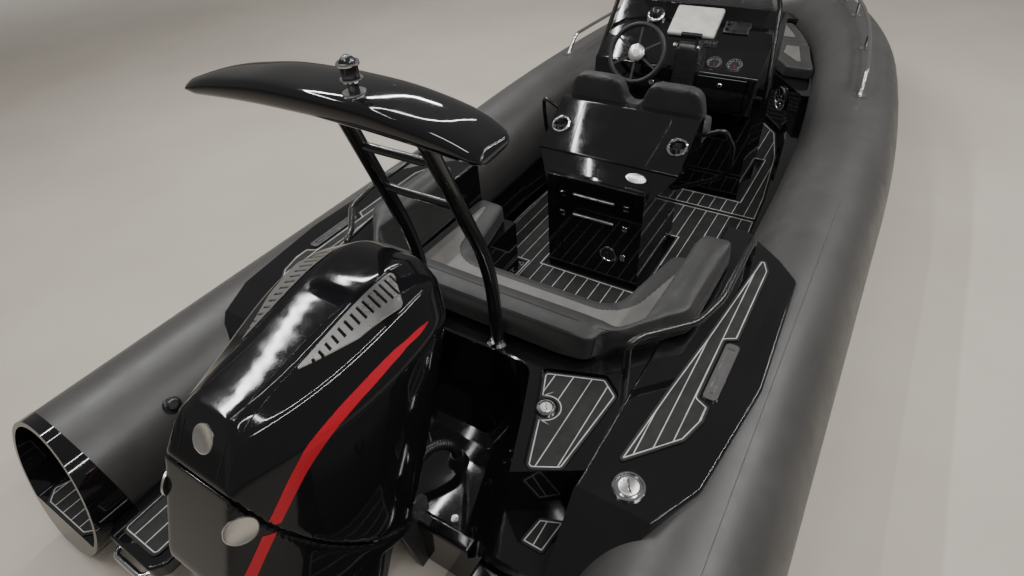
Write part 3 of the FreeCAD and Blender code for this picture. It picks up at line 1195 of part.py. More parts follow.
def make_windshield():
    """A hoop of black tube from the console's sides, and the curved screen inside it."""
    bx, by, bz = FRAME_BASE
    tx, ty, tz = FRAME_TOP
    side = [(bx, CONSOLE_HALF + GAP, bz), (bx, by, bz), (bx, by, bz + 125), (tx - 60, by - 50, tz - 210),
            (tx, ty, tz)]
    path = side + [(x, -y, z) for x, y, z in reversed(side)]
    nodes["windshield_frame"] = round_bar(path, FRAME_R, FRAME_BENDS + FRAME_BENDS[::-1])
    low = GLASS_FOOT
    high = [(tx - 8, ty - 40), (tx + 8, ty - 160)]
    rings = []
    for outline, z in ((low, GLASS_FOOT_Z), (high, tz - FRAME_R - SLACK)):
        back = across(outline)
        fore = [(x + GLASS_T, y) for x, y in reversed(back)]
        rings.append(polygon([(x, y, z) for x, y in back + fore]))
    glass = loft(rings, True).cut(nodes["console"])
    nodes["windshield"] = largest(glass)


def speaker():
    """A round loudspeaker: a dished disc with a rim, radial bars and a cap, on the +Z axis."""
    disc = cylinder(SPEAKER_R, SPEAKER_T, (0, 0, 0), (0, 0, 1))
    dish = cylinder(SPEAKER_R - 12, SPEAKER_T, (0, 0, 4), (0, 0, 1))
    pieces = [disc.cut(dish), cylinder(SPEAKER_R / 4, SPEAKER_T, (0, 0, 0), (0, 0, 1))]
    for k in range(SPEAKER_SPOKES):
        bar = box(SPEAKER_R / 5, SPEAKER_R - 6, -4, 4, 2, SPEAKER_T - 2)
        bar.rotate(Vector(0, 0, 0), Vector(0, 0, 1), 360 / SPEAKER_SPOKES * k)
        pieces.append(bar)
    return fused(pieces)


def make_bow():
    """Side seats that meet at a bow deck round a footwell, between the tubes."""
    def back(distance):
        return INNER_TIP_X - distance

    front_x = back(BOW_DECK_BACK)
    aft_x = back(BOW_BASE_BACK)
    outline = [(aft_x, room(aft_x, BOW_BASE_Z, 0))]
    outline += [(x, room(x, TUBE_Z, -BOW_LAP)) for x in (back(1000), back(500), front_x)]
    well = plan_prism(across([(back(d), half) for d, half in FOOTWELL]), 0, FAR, [0, 30, 60, 60, 30, 0])
    base = plan_prism(across(outline), FLOOR_T + GAP, BOW_BASE_Z).cut(well)
    nodes["bow_base"] = largest(clear_of_tubes(base).cut(nodes["hull_shell"]))
    pad_z = BOW_BASE_Z + GAP
    top_z = BOW_BASE_Z + BOW_PAD_T
    seam = back(BOW_SEAM_BACK)
    (a_back, a_half), (b_back, b_half) = FOOTWELL[1:]
    arm = [(back(BOW_PAD_BACK), room(back(BOW_PAD_BACK), top_z, 12)), (seam - SLACK, room(seam, top_z, 12)),
           (seam - SLACK, b_half + 25), (back(a_back), a_half + 12), (back(BOW_PAD_BACK), 442)]
    arm_pad = soft_top(plan_prism(arm, pad_z, top_z, [35, 25, 25, 60, 35]), BENCH_EDGE_R)
    middle = [(seam + SLACK, room(seam, top_z, 12)), (back(500), room(back(500), top_z, 14)),
              (front_x - GAP, room(front_x, top_z, 14))]
    middle_pad = soft_top(plan_prism(across(middle), pad_z, top_z, [25, 60, 25, 25, 60, 25]), BENCH_EDGE_R)
    nodes["bow_cushion"] = Part.makeCompound([arm_pad, mirrored(arm_pad), middle_pad])
    lx0 = back(LOCKER_BACK)
    lx1 = lx0 + LOCKER_L
    half = room(lx1, BOW_DECK_Z, LOCKER_SIDE)
    deck = plan_prism(across([(front_x, room(front_x, BOW_DECK_Z, -BOW_LAP)), (INNER_TIP_X + BOW_LAP, 90)]),
                      BOW_DECK_Z - BOW_DECK_T, BOW_DECK_Z)
    locker = box(lx0, lx1, -half, half, LOCKER_FLOOR_Z, BOW_DECK_Z + SLACK)
    nodes["bow_deck"] = largest(clear_of_tubes(deck).cut(nodes["hull_shell"]).cut(locker))
    lid = box(lx0 + GAP, lx1 - LID_CLEAR, LID_CLEAR - half, half - LID_CLEAR, BOW_DECK_Z - LID_T, BOW_DECK_Z)
    hinge = half - 30
    barrel = cylinder(HINGE_R, 2 * hinge, (lx0, -hinge, BOW_DECK_Z + HINGE_R + GAP), (0, 1, 0))
    leaf = box(lx0 + GAP, lx0 + 25, -hinge, hinge, BOW_DECK_Z - 1, BOW_DECK_Z + 3)
    nodes["bow_locker_lid"] = fused([lid, barrel, leaf])
    dx = FOOTWELL[0][0] - FOOTWELL[1][0]
    dy = FOOTWELL[0][1] - FOOTWELL[1][1]
    turn = math.degrees(math.atan2(dx, dy))
    x = back(SPEAKER_BACK)
    y = FOOTWELL[0][1] - (x - back(FOOTWELL[0][0])) * dy / dx
    disc = speaker()
    disc.rotate(Vector(0, 0, 0), Vector(0, 1, 0), -90)
    disc.rotate(Vector(0, 0, 0), Vector(0, 0, 1), turn)
    normal = Vector(-dy, -dx, 0)
    normal.normalize()
    disc.translate(Vector(x, y, SPEAKER_Z) + normal * GAP)
    nodes["speakers"] = both_sides(disc)


def tube_top(x, lift):
    """A point over the port tube's crown."""
    return (x, side_y(x, 0), spine_z(x) + TUBE_R + lift)


def make_handrails():
    """A long rail over each tube's crown, on two feet and two stanchions with round base plates."""
    inner = HANDRAIL_X[1:-1]
    first, last = [tube_top(x, -HANDRAIL_SUNK) for x in (HANDRAIL_X[0], HANDRAIL_X[-1])]
    path = [first] + [tube_top(x, HANDRAIL_H) for x in inner] + [last]
    bends = [HANDRAIL_END_R] + [HANDRAIL_BEND_R] * (len(inner) - 2) + [HANDRAIL_TIP_R]
    pieces = [round_bar(path, HANDRAIL_R, bends)]
    for x in STANCHION_X:
        px, py, pz = tube_top(x, -HANDRAIL_SUNK)
        pieces.append(cylinder(HANDRAIL_R - 2, HANDRAIL_H + 6, (px, py, pz), (0, 0, 1)))
    for x in (HANDRAIL_X[0], HANDRAIL_X[-1]) + STANCHION_X:
        px, py, pz = tube_top(x, -HANDRAIL_SUNK)
        pieces.append(cylinder(HANDRAIL_FOOT_R, HANDRAIL_SUNK + HANDRAIL_FOOT_T, (px, py, pz), (0, 0, 1)))
    rail = fused(pieces).cut(tube_solid(TUBE_R + GAP))
    nodes["tube_handrails"] = both_sides(largest(rail))


def make_floor_pads():
    """Foam decking inside the cockpit's outline, cut round the furniture, with a joint by the seat box."""
    top = FLOOR_T + PAD_T
    inside = Part.Face(plan_wire(cockpit_outline(), FLOOR_T)).makeOffset2D(-FLOOR_MARGIN)
    pad = inside.extrude(Vector(0, 0, PAD_T))
    m = FLOOR_MARGIN
    front = CONSOLE_SIDE[-1][0]
    last = INNER_TIP_X - FOOTWELL[2][0]
    bow = [(INNER_TIP_X - back, half) for back, half in FOOTWELL]
    beside_bow = [(bow[0][0] - m, bow[0][1]), (bow[1][0] - m, bow[1][1] - m), (last - m, bow[2][1] - m),
                  (last - m, 0), (FAR + last, 0), (FAR + last, FAR)]
    holes = [box(0, BENCH_FRONT_X + m, -FAR, FAR, 0, top),
             box(0, BENCH_END_X + m, BENCH_LEG_Y - m, FAR, 0, top),
             box(0, BENCH_END_X + m, -FAR, m - BENCH_LEG_Y, 0, top),
             box(BOX_X0 - m, BOX_X1 + m, -BOX_HALF - m, BOX_HALF + m, 0, top),
             box(CONSOLE_FOOT_X - m, front + m, -CONSOLE_HALF - m, CONSOLE_HALF + m, 0, top),
             box(front, front + CONSOLE_SEAT_L + m, -CONSOLE_SEAT_HALF - m, CONSOLE_SEAT_HALF + m, 0, top)]
    side = plan_prism(beside_bow, 0, top)
    holes += [side, mirrored(side)]
    for x in FLOOR_JOINTS:
        holes.append(box(x, x + FLOOR_JOINT_W, -FAR, FAR, 0, top))
    for hole in holes:
        pad = pad.cut(hole)
    nodes["floor_pads"] = pad


def make_eyes():
    """Drilled lugs for towing: an upright one on the stem and two flat ones on the transom."""
    eyes = []
    # centre x, y and z, how far the root reaches towards the hull in x and z, and the hole's turn
    places = [(TIP_X - BOW_EYE_BACK, 0, BOW_EYE_Z, -60, 90, 0),
              (-STERN_EYE_OUT, STERN_EYE_Y, STERN_EYE_Z, 60, 0, 90),
              (-STERN_EYE_OUT, -STERN_EYE_Y, STERN_EYE_Z, 60, 0, 90)]
    for x, y, z, dx, dz, turn in places:
        ring = cylinder(EYE_R, EYE_T, (0, -EYE_T / 2, 0), (0, 1, 0))
        root = box(0, math.hypot(dx, dz), -EYE_T / 2, EYE_T / 2, -EYE_R, EYE_R)
        root.rotate(Vector(0, 0, 0), Vector(0, 1, 0), -math.degrees(math.atan2(dz, dx)))
        hole = cylinder(EYE_HOLE_R, EYE_T + 2, (0, -EYE_T / 2 - 1, 0), (0, 1, 0))
        eye = ring.fuse(root).removeSplitter().cut(hole)
        eye.rotate(Vector(0, 0, 0), Vector(1, 0, 0), turn)
        eye.translate(Vector(x, y, z))
        eyes.append(largest(eye.cut(nodes["hull_shell"])))
    nodes["towing_eyes"] = Part.makeCompound(eyes)


for make in (make_tubes, make_tube_ends, make_hull, make_aft_deck, make_side_decks, make_platforms,
             make_bench, make_bench_rails, make_mast, make_engine_cover, make_engine_leg, make_propeller,
             make_engine_brackets, make_rigging, make_helm_seat, make_console, make_bow, make_handrails,
             make_floor_pads, make_eyes):
    make()
os.makedirs(OUT, exist_ok=True)
for name, shape in nodes.items():
    shape.exportStep(os.path.join(OUT, name + ".step"))
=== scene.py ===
import json
import math

import bmesh
import bpy
import numpy as np
from mathutils import Matrix, Vector
from mathutils.bvhtree import BVHTree


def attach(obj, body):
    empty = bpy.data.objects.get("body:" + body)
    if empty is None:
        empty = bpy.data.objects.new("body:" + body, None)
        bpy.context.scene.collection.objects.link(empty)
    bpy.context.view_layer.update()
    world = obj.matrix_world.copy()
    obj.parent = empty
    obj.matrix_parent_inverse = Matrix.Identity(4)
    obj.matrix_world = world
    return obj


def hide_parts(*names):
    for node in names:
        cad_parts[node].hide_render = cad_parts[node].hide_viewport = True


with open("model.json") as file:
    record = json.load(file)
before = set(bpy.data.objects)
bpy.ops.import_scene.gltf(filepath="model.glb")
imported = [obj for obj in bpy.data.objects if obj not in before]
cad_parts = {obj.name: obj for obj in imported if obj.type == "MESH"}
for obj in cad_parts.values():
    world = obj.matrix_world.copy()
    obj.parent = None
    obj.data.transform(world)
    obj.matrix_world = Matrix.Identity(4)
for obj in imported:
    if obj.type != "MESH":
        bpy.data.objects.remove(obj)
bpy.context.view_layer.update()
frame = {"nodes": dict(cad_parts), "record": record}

# A rigid inflatable boat, in metres, in the frame of the CAD model: +X to the bow, +Y to port,
# +Z up, with the waterline and the floor at Z = 0.

NODES = frame["nodes"]

# ---- Camera, as solved from the photograph
IMAGE_W = 1024
FOCAL_PX = 588.2
SENSOR_W = 36
CAMERA_AT = (-0.640, -1.133, 2.219)
CAMERA_RIGHT = (0.52788, -0.84696, -0.06317)
CAMERA_UP = (0.57597, 0.30233, 0.75951)
CAMERA_BACK = (-0.62418, -0.43731, 0.64742)

# ---- Engine frame: given upright from the tilt tube, then tilted
TILT_AT = Vector((0.0, 0.0, 0.33))
TILT_DEG = 25
TILT = Matrix.Translation(TILT_AT) @ Matrix.Rotation(math.radians(TILT_DEG), 4, "Y")

# ---- Colours
FABRIC = (0.054, 0.052, 0.050)
GELCOAT = (0.006, 0.006, 0.007)
FOAM = (0.019, 0.0185, 0.018)
FOAM_LINE = (0.42, 0.42, 0.41)
VINYL = (0.029, 0.028, 0.0275)
# painted light: a paler copy of the vinyl, for the panels on the cushion tops where the lamps fall
VINYL_PAINTED_LIGHT = (0.125, 0.118, 0.112)
# painted shade: a darker copy of the vinyl, for the upright helm backrests
VINYL_PAINTED_SHADE = (0.026, 0.025, 0.026)
STEEL = (0.62, 0.62, 0.63)
RED = (0.42, 0.012, 0.022)

FINISHES = {}
SIDES = ((-1, "starboard"), (1, "port"))


def link(name, data):
    piece = bpy.data.objects.new(name, data)
    bpy.context.collection.objects.link(piece)
    return piece


def dress(piece, finish, body, smooth=True):
    """Gives a piece its finish and lets it ride on a body."""
    piece.data.materials.clear()
    piece.data.materials.append(FINISHES[finish])
    if smooth:
        piece.data.shade_smooth()
    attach(piece, body)
    return piece


def new_object(name, mesh, finish, body="boat", smooth=True):
    """Links a mesh as a piece; its slot has the finish's name."""
    return dress(link(name, mesh), finish, body, smooth)


def mesh_from(name, verts, faces):
    mesh = bpy.data.meshes.new(name)
    mesh.from_pydata([tuple(v) for v in verts], [], faces)
    mesh.validate()
    mesh.update()
    return mesh


def mesh_of(bm, name):
    mesh = bpy.data.meshes.new(name)
    bm.to_mesh(mesh)
    bm.free()
    return mesh


def make_camera():
    data = bpy.data.cameras.new("camera")
    data.sensor_width = SENSOR_W
    data.lens = FOCAL_PX * SENSOR_W / IMAGE_W
    data.clip_end = 200
    camera = link("camera", data)
    axes = Matrix((CAMERA_RIGHT, CAMERA_UP, CAMERA_BACK)).transposed().to_4x4()
    camera.matrix_world = Matrix.Translation(CAMERA_AT) @ axes
    bpy.context.scene.camera = camera


# ---- Materials

def principled(name, **values):
    material = FINISHES[name] = bpy.data.materials.new(name)
    material.use_nodes = True
    shader = material.node_tree.nodes["Principled BSDF"]
    for key, value in values.items():
        shader.inputs[key.replace("_", " ")].default_value = value
    return material


def texture(material, kind, scale, **values):
    """A procedural texture node in the object's own coordinates."""
    tree = material.node_tree
    place = tree.nodes.get("place")
    if place is None:
        place = tree.nodes.new("ShaderNodeTexCoord")
        place.name = "place"
    node = tree.nodes.new("ShaderNodeTex" + kind)
    node.inputs["Scale"].default_value = scale
    for key, value in values.items():
        node.inputs[key.replace("_", " ")].default_value = value
    tree.links.new(place.outputs["Object"], node.inputs["Vector"])
    return node


def map_range(tree, source, start, end, low, high):
    """A number that goes from low to high as the source goes from start to end."""
    node = tree.nodes.new("ShaderNodeMapRange")
    for key, value in (("From Min", start), ("From Max", end), ("To Min", low), ("To Max", high)):
        node.inputs[key].default_value = value
    tree.links.new(source, node.inputs["Value"])
    return node


def scaled(colour, share):
    return tuple(share * c for c in colour)


def tint(material, low, high, scale, detail=4.0):
    """Varies the base colour between two colours."""
    tree = material.node_tree
    source = texture(material, "Noise", scale, Detail=detail, Roughness=0.6)
    ramp = tree.nodes.new("ShaderNodeValToRGB")
    ramp.color_ramp.elements[0].position = 0.35
    ramp.color_ramp.elements[1].position = 0.68
    ramp.color_ramp.elements[0].color = (*low, 1)
    ramp.color_ramp.elements[1].color = (*high, 1)
    tree.links.new(source.outputs["Fac"], ramp.inputs["Fac"])
    tree.links.new(ramp.outputs["Color"], tree.nodes["Principled BSDF"].inputs["Base Color"])
    return ramp


def roughen(material, low, high, scale):
    """Varies the roughness, as dust and handling do."""
    tree = material.node_tree
    source = texture(material, "Noise", scale, Detail=6.0, Roughness=0.65)
    span = map_range(tree, source.outputs["Fac"], 0.35, 0.7, low, high)
    tree.links.new(span.outputs["Result"], tree.nodes["Principled BSDF"].inputs["Roughness"])


def bump(material, source, output, strength, distance):
    """Adds a bump to the ones already on the shader."""
    tree = material.node_tree
    normal = tree.nodes["Principled BSDF"].inputs["Normal"]
    node = tree.nodes.new("ShaderNodeBump")
    node.inputs["Strength"].default_value = strength
    node.inputs["Distance"].default_value = distance
    tree.links.new(source.outputs[output], node.inputs["Height"])
    if normal.links:
        tree.links.new(normal.links[0].from_node.outputs["Normal"], node.inputs["Normal"])
    tree.links.new(node.outputs["Normal"], normal)


def fabric_material():
    material = principled("tube_fabric", Sheen_Weight=0.05, Sheen_Roughness=0.4, Specular_IOR_Level=0.6)
    tint(material, scaled(FABRIC, 0.88), scaled(FABRIC, 1.12), 3.0)
    roughen(material, 0.36, 0.50, 8.0)
    bump(material, texture(material, "Noise", 900.0, Detail=2.0), "Fac", 0.12, 0.0006)
    bump(material, texture(material, "Noise", 5.0, Detail=3.0), "Fac", 0.10, 0.004)


def gelcoat_material(name, colour):
    material = principled(name, Coat_Weight=0.2, Coat_Roughness=0.02, Specular_IOR_Level=0.45)
    tint(material, scaled(colour, 0.8), scaled(colour, 1.25), 2.0)
    roughen(material, 0.03, 0.08, 14.0)
    bump(material, texture(material, "Noise", 60.0, Detail=1.0), "Fac", 0.02, 0.0006)


def foam_material(name, colour):
    """Closed-cell deck foam with a brushed nap."""
    material = principled(name, Specular_IOR_Level=0.3)
    tint(material, scaled(colour, 0.8), scaled(colour, 1.25), 14.0)
    roughen(material, 0.62, 0.8, 30.0)
    bump(material, texture(material, "Voronoi", 700.0), "Distance", 0.35, 0.0008)
    nap = texture(material, "Wave", 160.0, Distortion=3.0, Detail=2.0)
    bump(material, nap, "Fac", 0.12, 0.0005)


def vinyl_material(name, colour):
    """Marine vinyl: a pebbled leather grain with fine creases."""
    material = principled(name, Specular_IOR_Level=0.45, Sheen_Weight=0.12, Sheen_Roughness=0.4)
    tint(material, scaled(colour, 0.86), scaled(colour, 1.12), 7.0)
    roughen(material, 0.42, 0.58, 20.0)
    grain = texture(material, "Voronoi", 420.0, Randomness=1.0)
    grain.feature = "SMOOTH_F1"
    bump(material, grain, "Distance", 0.30, 0.0007)
    bump(material, texture(material, "Noise", 26.0, Detail=5.0, Distortion=0.6), "Fac", 0.16, 0.003)


def metal_material(name, colour, low, high):
    material = principled(name, Metallic=1.0)
    tint(material, scaled(colour, 0.92), colour, 9.0)
    roughen(material, low, high, 40.0)
    bump(material, texture(material, "Noise", 300.0, Detail=2.0), "Fac", 0.03, 0.0003)


def plastic_material(name, colour, low=0.34, high=0.48, grain=500.0):
    material = principled(name, Specular_IOR_Level=0.5)
    tint(material, scaled(colour, 0.85), scaled(colour, 1.15), 12.0)
    roughen(material, low, high, 25.0)
    bump(material, texture(material, "Noise", grain, Detail=2.0), "Fac", 0.18, 0.0005)


def paint_material(name, colour, rough=0.03, coat=0.0):
    """Sprayed paint with a fine flake under its clear coat."""
    material = principled(name, Coat_Weight=coat, Coat_Roughness=0.02, Specular_IOR_Level=0.34)
    ramp = tint(material, colour, scaled(colour, 1.6), 1500.0, 1.0)
    ramp.color_ramp.elements[0].position = 0.55
    roughen(material, rough, rough + 0.05, 18.0)
    bump(material, texture(material, "Noise", 90.0, Detail=1.0), "Fac", 0.02, 0.0005)


def glass_material(name, colour, alpha):
    material = principled(name, Base_Color=(*colour, 1), Transmission_Weight=1.0, IOR=1.45, Alpha=alpha)
    roughen(material, 0.01, 0.05, 10.0)


def make_materials():
    fabric_material()
    plastic_material("strake_rubber", (0.020, 0.020, 0.022), 0.45, 0.6)
    gelcoat_material("gelcoat", GELCOAT)
    foam_material("deck_foam", FOAM)
    foam_material("foam_line", FOAM_LINE)
    vinyl_material("vinyl", VINYL)
    # painted light: a paler copy of the vinyl, for the lit cushion tops
    vinyl_material("vinyl_painted_light", VINYL_PAINTED_LIGHT)
    # painted shade: a darker copy of the vinyl, for the upright helm backrests
    vinyl_material("vinyl_painted_shade", VINYL_PAINTED_SHADE)
    glass_material("lamp_lens", (0.10, 0.10, 0.11), 1.0)
    plastic_material("seam", (0.012, 0.012, 0.012), 0.5, 0.7)
    paint_material("black_tube", (0.010, 0.010, 0.010), 0.2, 0.6)
    metal_material("stainless", STEEL, 0.07, 0.18)
    metal_material("lamp", (0.5, 0.5, 0.51), 0.05, 0.12)
    paint_material("engine_black", (0.007, 0.007, 0.008))
    metal_material("engine_silver", (0.66, 0.65, 0.63), 0.27, 0.31)
    plastic_material("cast_block", (0.08, 0.08, 0.08), 0.6, 0.8, 200.0)
    plastic_material("bracket", (0.022, 0.022, 0.024), 0.3, 0.45, 250.0)
    vinyl_material("wheel_grip", (0.012, 0.012, 0.012))
    glass_material("screen", (0.16, 0.16, 0.17), 0.55)
    plastic_material("plotter_case", (0.62, 0.60, 0.54), 0.4, 0.55)
    plastic_material("trim_plastic", (0.014, 0.014, 0.015), 0.22, 0.4)
    plastic_material("hose", (0.012, 0.012, 0.012), 0.3, 0.45)
    paint_material("red_stripe", RED, 0.2)
    plastic_material("dial_face", (0.02, 0.02, 0.022), 0.2, 0.3)
    plastic_material("white_mark", (0.7, 0.7, 0.68), 0.3, 0.5)


def dress_nodes():
    """Gives every CAD node the procedural material of its slot."""
    for row in frame["record"]["subparts"]:
        mesh = NODES[row["node"]].data
        mesh.materials.clear()
        mesh.materials.append(FINISHES[row["material_slot"]])


# ---- Floor and light

FLOOR_HALF = 40.0
FLOOR_COLOURS = ((0.47, 0.425, 0.365), (0.52, 0.475, 0.41))
FLOOR_GLOW = (0.66, 0.63, 0.58, 1)
GLOW_STRENGTH = 0.60
GLOW_START = 7.0
GLOW_FULL = 17.0
SKY = (1.0, 0.97, 0.93, 1)
SKY_FOR_LIGHT = 0.20
SKY_FOR_CAMERA = 0.72


def camera_ray(tree):
    return tree.nodes.new("ShaderNodeLightPath").outputs["Is Camera Ray"]


def glow_far(material):
    """Keeps the far floor as pale to the camera as the lit floor near the boat."""
    tree = material.node_tree
    shader = tree.nodes["Principled BSDF"]
    length = tree.nodes.new("ShaderNodeVectorMath")
    length.operation = "LENGTH"
    tree.links.new(tree.nodes["place"].outputs["Object"], length.inputs[0])
    far = map_range(tree, length.outputs["Value"], GLOW_START, GLOW_FULL, 0.0, GLOW_STRENGTH)
    far.interpolation_type = "SMOOTHSTEP"
    seen = tree.nodes.new("ShaderNodeMath")
    seen.operation = "MULTIPLY"
    tree.links.new(far.outputs["Result"], seen.inputs[0])
    tree.links.new(camera_ray(tree), seen.inputs[1])
    tree.links.new(seen.outputs["Value"], shader.inputs["Emission Strength"])
    shader.inputs["Emission Color"].default_value = FLOOR_GLOW


def make_stage():
    material = principled("floor", Specular_IOR_Level=0.2)
    tint(material, *FLOOR_COLOURS, 0.7)
    roughen(material, 0.6, 0.8, 4.0)
    bump(material, texture(material, "Noise", 40.0, Detail=4.0), "Fac", 0.05, 0.002)
    glow_far(material)
    corners = [(x * FLOOR_HALF, y * FLOOR_HALF, 0) for x, y in ((-1, -1), (1, -1), (1, 1), (-1, 1))]
    floor = link("floor", mesh_from("floor", corners, [(0, 1, 2, 3)]))
    floor.data.materials.append(material)

    world = bpy.data.worlds.new("studio")
    world.use_nodes = True
    tree = world.node_tree
    background = tree.nodes["Background"]
    background.inputs["Color"].default_value = SKY
    strength = map_range(tree, camera_ray(tree), 0.0, 1.0, SKY_FOR_LIGHT, SKY_FOR_CAMERA)
    tree.links.new(strength.outputs["Result"], background.inputs["Strength"])
    bpy.context.scene.world = world


# name, place, what it looks at, length and width, power
LAMPS = [
    ("strip_port_out", (2.5, 3.9, 5.2), (2.5, 1.6, 0.0), (9.0, 0.10), 240),
    ("strip_port_in", (2.5, 2.2, 5.2), (2.5, 1.2, 0.0), (9.0, 0.05), 80),
    ("strip_starboard_in", (2.5, -2.0, 5.2), (2.5, -1.2, 0.0), (9.0, 0.06), 120),
    ("strip_starboard_out", (2.5, -3.6, 5.2), (2.5, -1.6, 0.0), (9.0, 0.10), 240),
    ("ceiling_middle", (-1.5, 0.6, 5.2), (-0.5, 0.3, 0.0), (1.6, 0.3), 40),
]


def make_lamps():
    for name, place, aim, size, power in LAMPS:
        data = bpy.data.lights.new(name, "AREA")
        data.shape = "RECTANGLE"
        data.size, data.size_y = size
        data.energy = power
        lamp = link(name, data)
        lamp.location = place
        lamp.rotation_euler = (Vector(aim) - Vector(place)).to_track_quat("-Z", "Y").to_euler()


# ---- Deck pads: pale lines cut in the foam

LINE_UP = 0.0006
FLAT = 0.99
MERGE = 1e-5
# node, border's distance from the edge, border width, line pitch, line width
PADS = [
    ("step_pads", 0.008, 0.004, 0.062, 0.0035),
    ("side_pads", 0.008, 0.004, 0.045, 0.0035),
    ("platform_pads", 0.010, 0.004, 0.065, 0.004),
    ("tube_end_pads", 0.010, 0.004, 0.060, 0.004),
    ("floor_pads", 0.012, 0.006, 0.075, 0.004),
]


def top_faces(node):
    """The upward faces of a node, in a mesh of their own, with flat neighbours joined."""
    bm = bmesh.new()
    bm.from_mesh(NODES[node].data)
    bmesh.ops.remove_doubles(bm, verts=bm.verts, dist=MERGE)
    bm.normal_update()
    away = [f for f in bm.faces if f.normal.z < FLAT]
    bmesh.ops.delete(bm, geom=away, context="FACES")
    bmesh.ops.dissolve_limit(bm, angle_limit=0.01, verts=bm.verts, edges=bm.edges)
    return bm


def inset(bm, distance):
    return bmesh.ops.inset_region(bm, faces=bm.faces[:], thickness=distance, use_even_offset=True,
                                  use_boundary=True)


def pad_lines():
    for node, edge, border, pitch, width in PADS:
        bm = top_faces(node)
        first = inset(bm, edge)
        bmesh.ops.delete(bm, geom=first["faces"], context="FACES")
        ring = inset(bm, border)
        for face in ring["faces"]:
            face.material_index = 1
        inside = [f for f in bm.faces if not f.material_index]
        across = Vector((0, 1, 0))
        places = [v.co.y for f in inside for v in f.verts]
        low = math.ceil(min(places) / pitch)
        high = math.floor(max(places) / pitch)
        for k in range(low, high + 1):
            for side in (k * pitch - width / 2, k * pitch + width / 2):
                geom = [f for f in bm.faces if not f.material_index]
                geom += list({e for f in geom for e in f.edges}) + list({v for f in geom for v in f.verts})
                bmesh.ops.bisect_plane(bm, geom=geom, plane_co=across * side, plane_no=across)
        drop = []
        for f in bm.faces:
            if f.material_index:
                continue
            place = f.calc_center_median().y
            if abs(place - round(place / pitch) * pitch) > width / 2:
                drop.append(f)
        bmesh.ops.delete(bm, geom=drop, context="FACES")
        for face in bm.faces:
            face.material_index = 0
        bmesh.ops.translate(bm, verts=bm.verts, vec=(0, 0, LINE_UP))
        lines = mesh_of(bm, node + "_lines")
        new_object(lines.name, lines, "foam_line", smooth=False)


# ---- Shapes shared by the pieces

def skin(rows, sides, ring=False, caps=True):
    """Faces between rows of points, each a closed line; the ends are closed, or joined for a ring."""
    total = rows * sides
    faces = []
    for row in range(rows if ring else rows - 1):
        for k in range(sides):
            a, b = row * sides + k, row * sides + (k + 1) % sides
            faces.append((a, b, (b + sides) % total, (a + sides) % total))
    if caps and not ring:
        faces += [tuple(reversed(range(sides))), tuple(range(total - sides, total))]
    return faces


def line_mesh(name, points, radius=0.0, steps=12):
    """A smooth NURBS line along the points, as a round rod where it has a radius."""
    curve = bpy.data.curves.new(name, "CURVE")
    curve.dimensions = "3D"
    curve.resolution_u = steps
    spline = curve.splines.new("NURBS")
    spline.points.add(len(points) - 1)
    for point, co in zip(spline.points, points):
        point.co = (*co, 1)
    spline.order_u = 3
    spline.use_endpoint_u = True
    curve.bevel_depth = radius
    curve.bevel_resolution = 4
    curve.use_fill_caps = True
    temp = bpy.data.objects.new(name + "_line", curve)
    mesh = bpy.data.meshes.new_from_object(temp)
    bpy.data.objects.remove(temp)
    return mesh


def smooth_path(points, count):
    """Points on a Catmull-Rom line, with as many of them between each two of the given points."""
    out = []
    ends = [points[0]] + list(points) + [points[-1]]
    for k in range(count):
        t = k / (count - 1) * (len(points) - 1)
        i = min(int(t), len(points) - 2)
        u = t - i
        p0, p1, p2, p3 = (Vector(p) for p in ends[i:i + 4])
        out.append(0.5 * ((2 * p1) + (p2 - p0) * u + (2 * p0 - 5 * p1 + 4 * p2 - p3) * u ** 2
                          + (3 * p1 - p0 - 3 * p2 + p3) * u ** 3))
    return out


def facing(axis, up=(0, 0, 1)):
    """A turn whose local Z is the axis and whose local Y is as near as it can be to up."""
    z = Vector(axis).normalized()
    x = Vector(up).cross(z).normalized()
    return Matrix((x, z.cross(x), z)).transposed()


# ---- Cushions

# node, voxel, pressure, most that a point moves, finish, fill
CUSHIONS = [
    ("bench_cushion", 0.010, 4.0, 0.014, "vinyl", 0.8),
    ("bench_backrest", 0.010, 4.0, 0.012, "vinyl", 0.8),
    ("helm_cushions", 0.007, 4.0, 0.014, "vinyl", 0.85),
    # the helm backrests get the darker copy of the vinyl: painted shade
    ("helm_backrests", 0.006, 2.5, 0.005, "vinyl_painted_shade", 0.85),
    ("bow_cushion", 0.010, 4.0, 0.014, "vinyl", 0.8),
    ("console_seat", 0.007, 4.0, 0.014, "vinyl", 0.8),
]
SHRINK = 0.006
FRAMES = 20
COVER_ROUNDS = 4


def points_of(mesh):
    points = np.empty(3 * len(mesh.vertices))
    mesh.vertices.foreach_get("co", points)
    return points.reshape(-1, 3)


def set_points(mesh, points):
    mesh.vertices.foreach_set("co", points.ravel())
    mesh.update()


def voxel_copy(name, mesh, voxel):
    """A copy of a mesh as an even net of voxels."""
    piece = link(name, mesh.copy())
    bpy.context.view_layer.objects.active = piece
    remesh = piece.modifiers.new("remesh", "REMESH")
    remesh.mode = "VOXEL"
    remesh.voxel_size = voxel
    bpy.ops.object.modifier_apply(modifier=remesh.name)
    return piece


def smoothed(piece, rounds):
    smooth = piece.modifiers.new("smooth", "SMOOTH")
    smooth.factor = 0.5
    smooth.iterations = rounds
    return smooth


def draw_in(piece):
    """Moves the surface in a little, to leave room for the swelling."""
    normals = np.empty(3 * len(piece.data.vertices))
    piece.data.vertex_normals.foreach_get("vector", normals)
    set_points(piece.data, points_of(piece.data) - normals.reshape(-1, 3) * SHRINK)


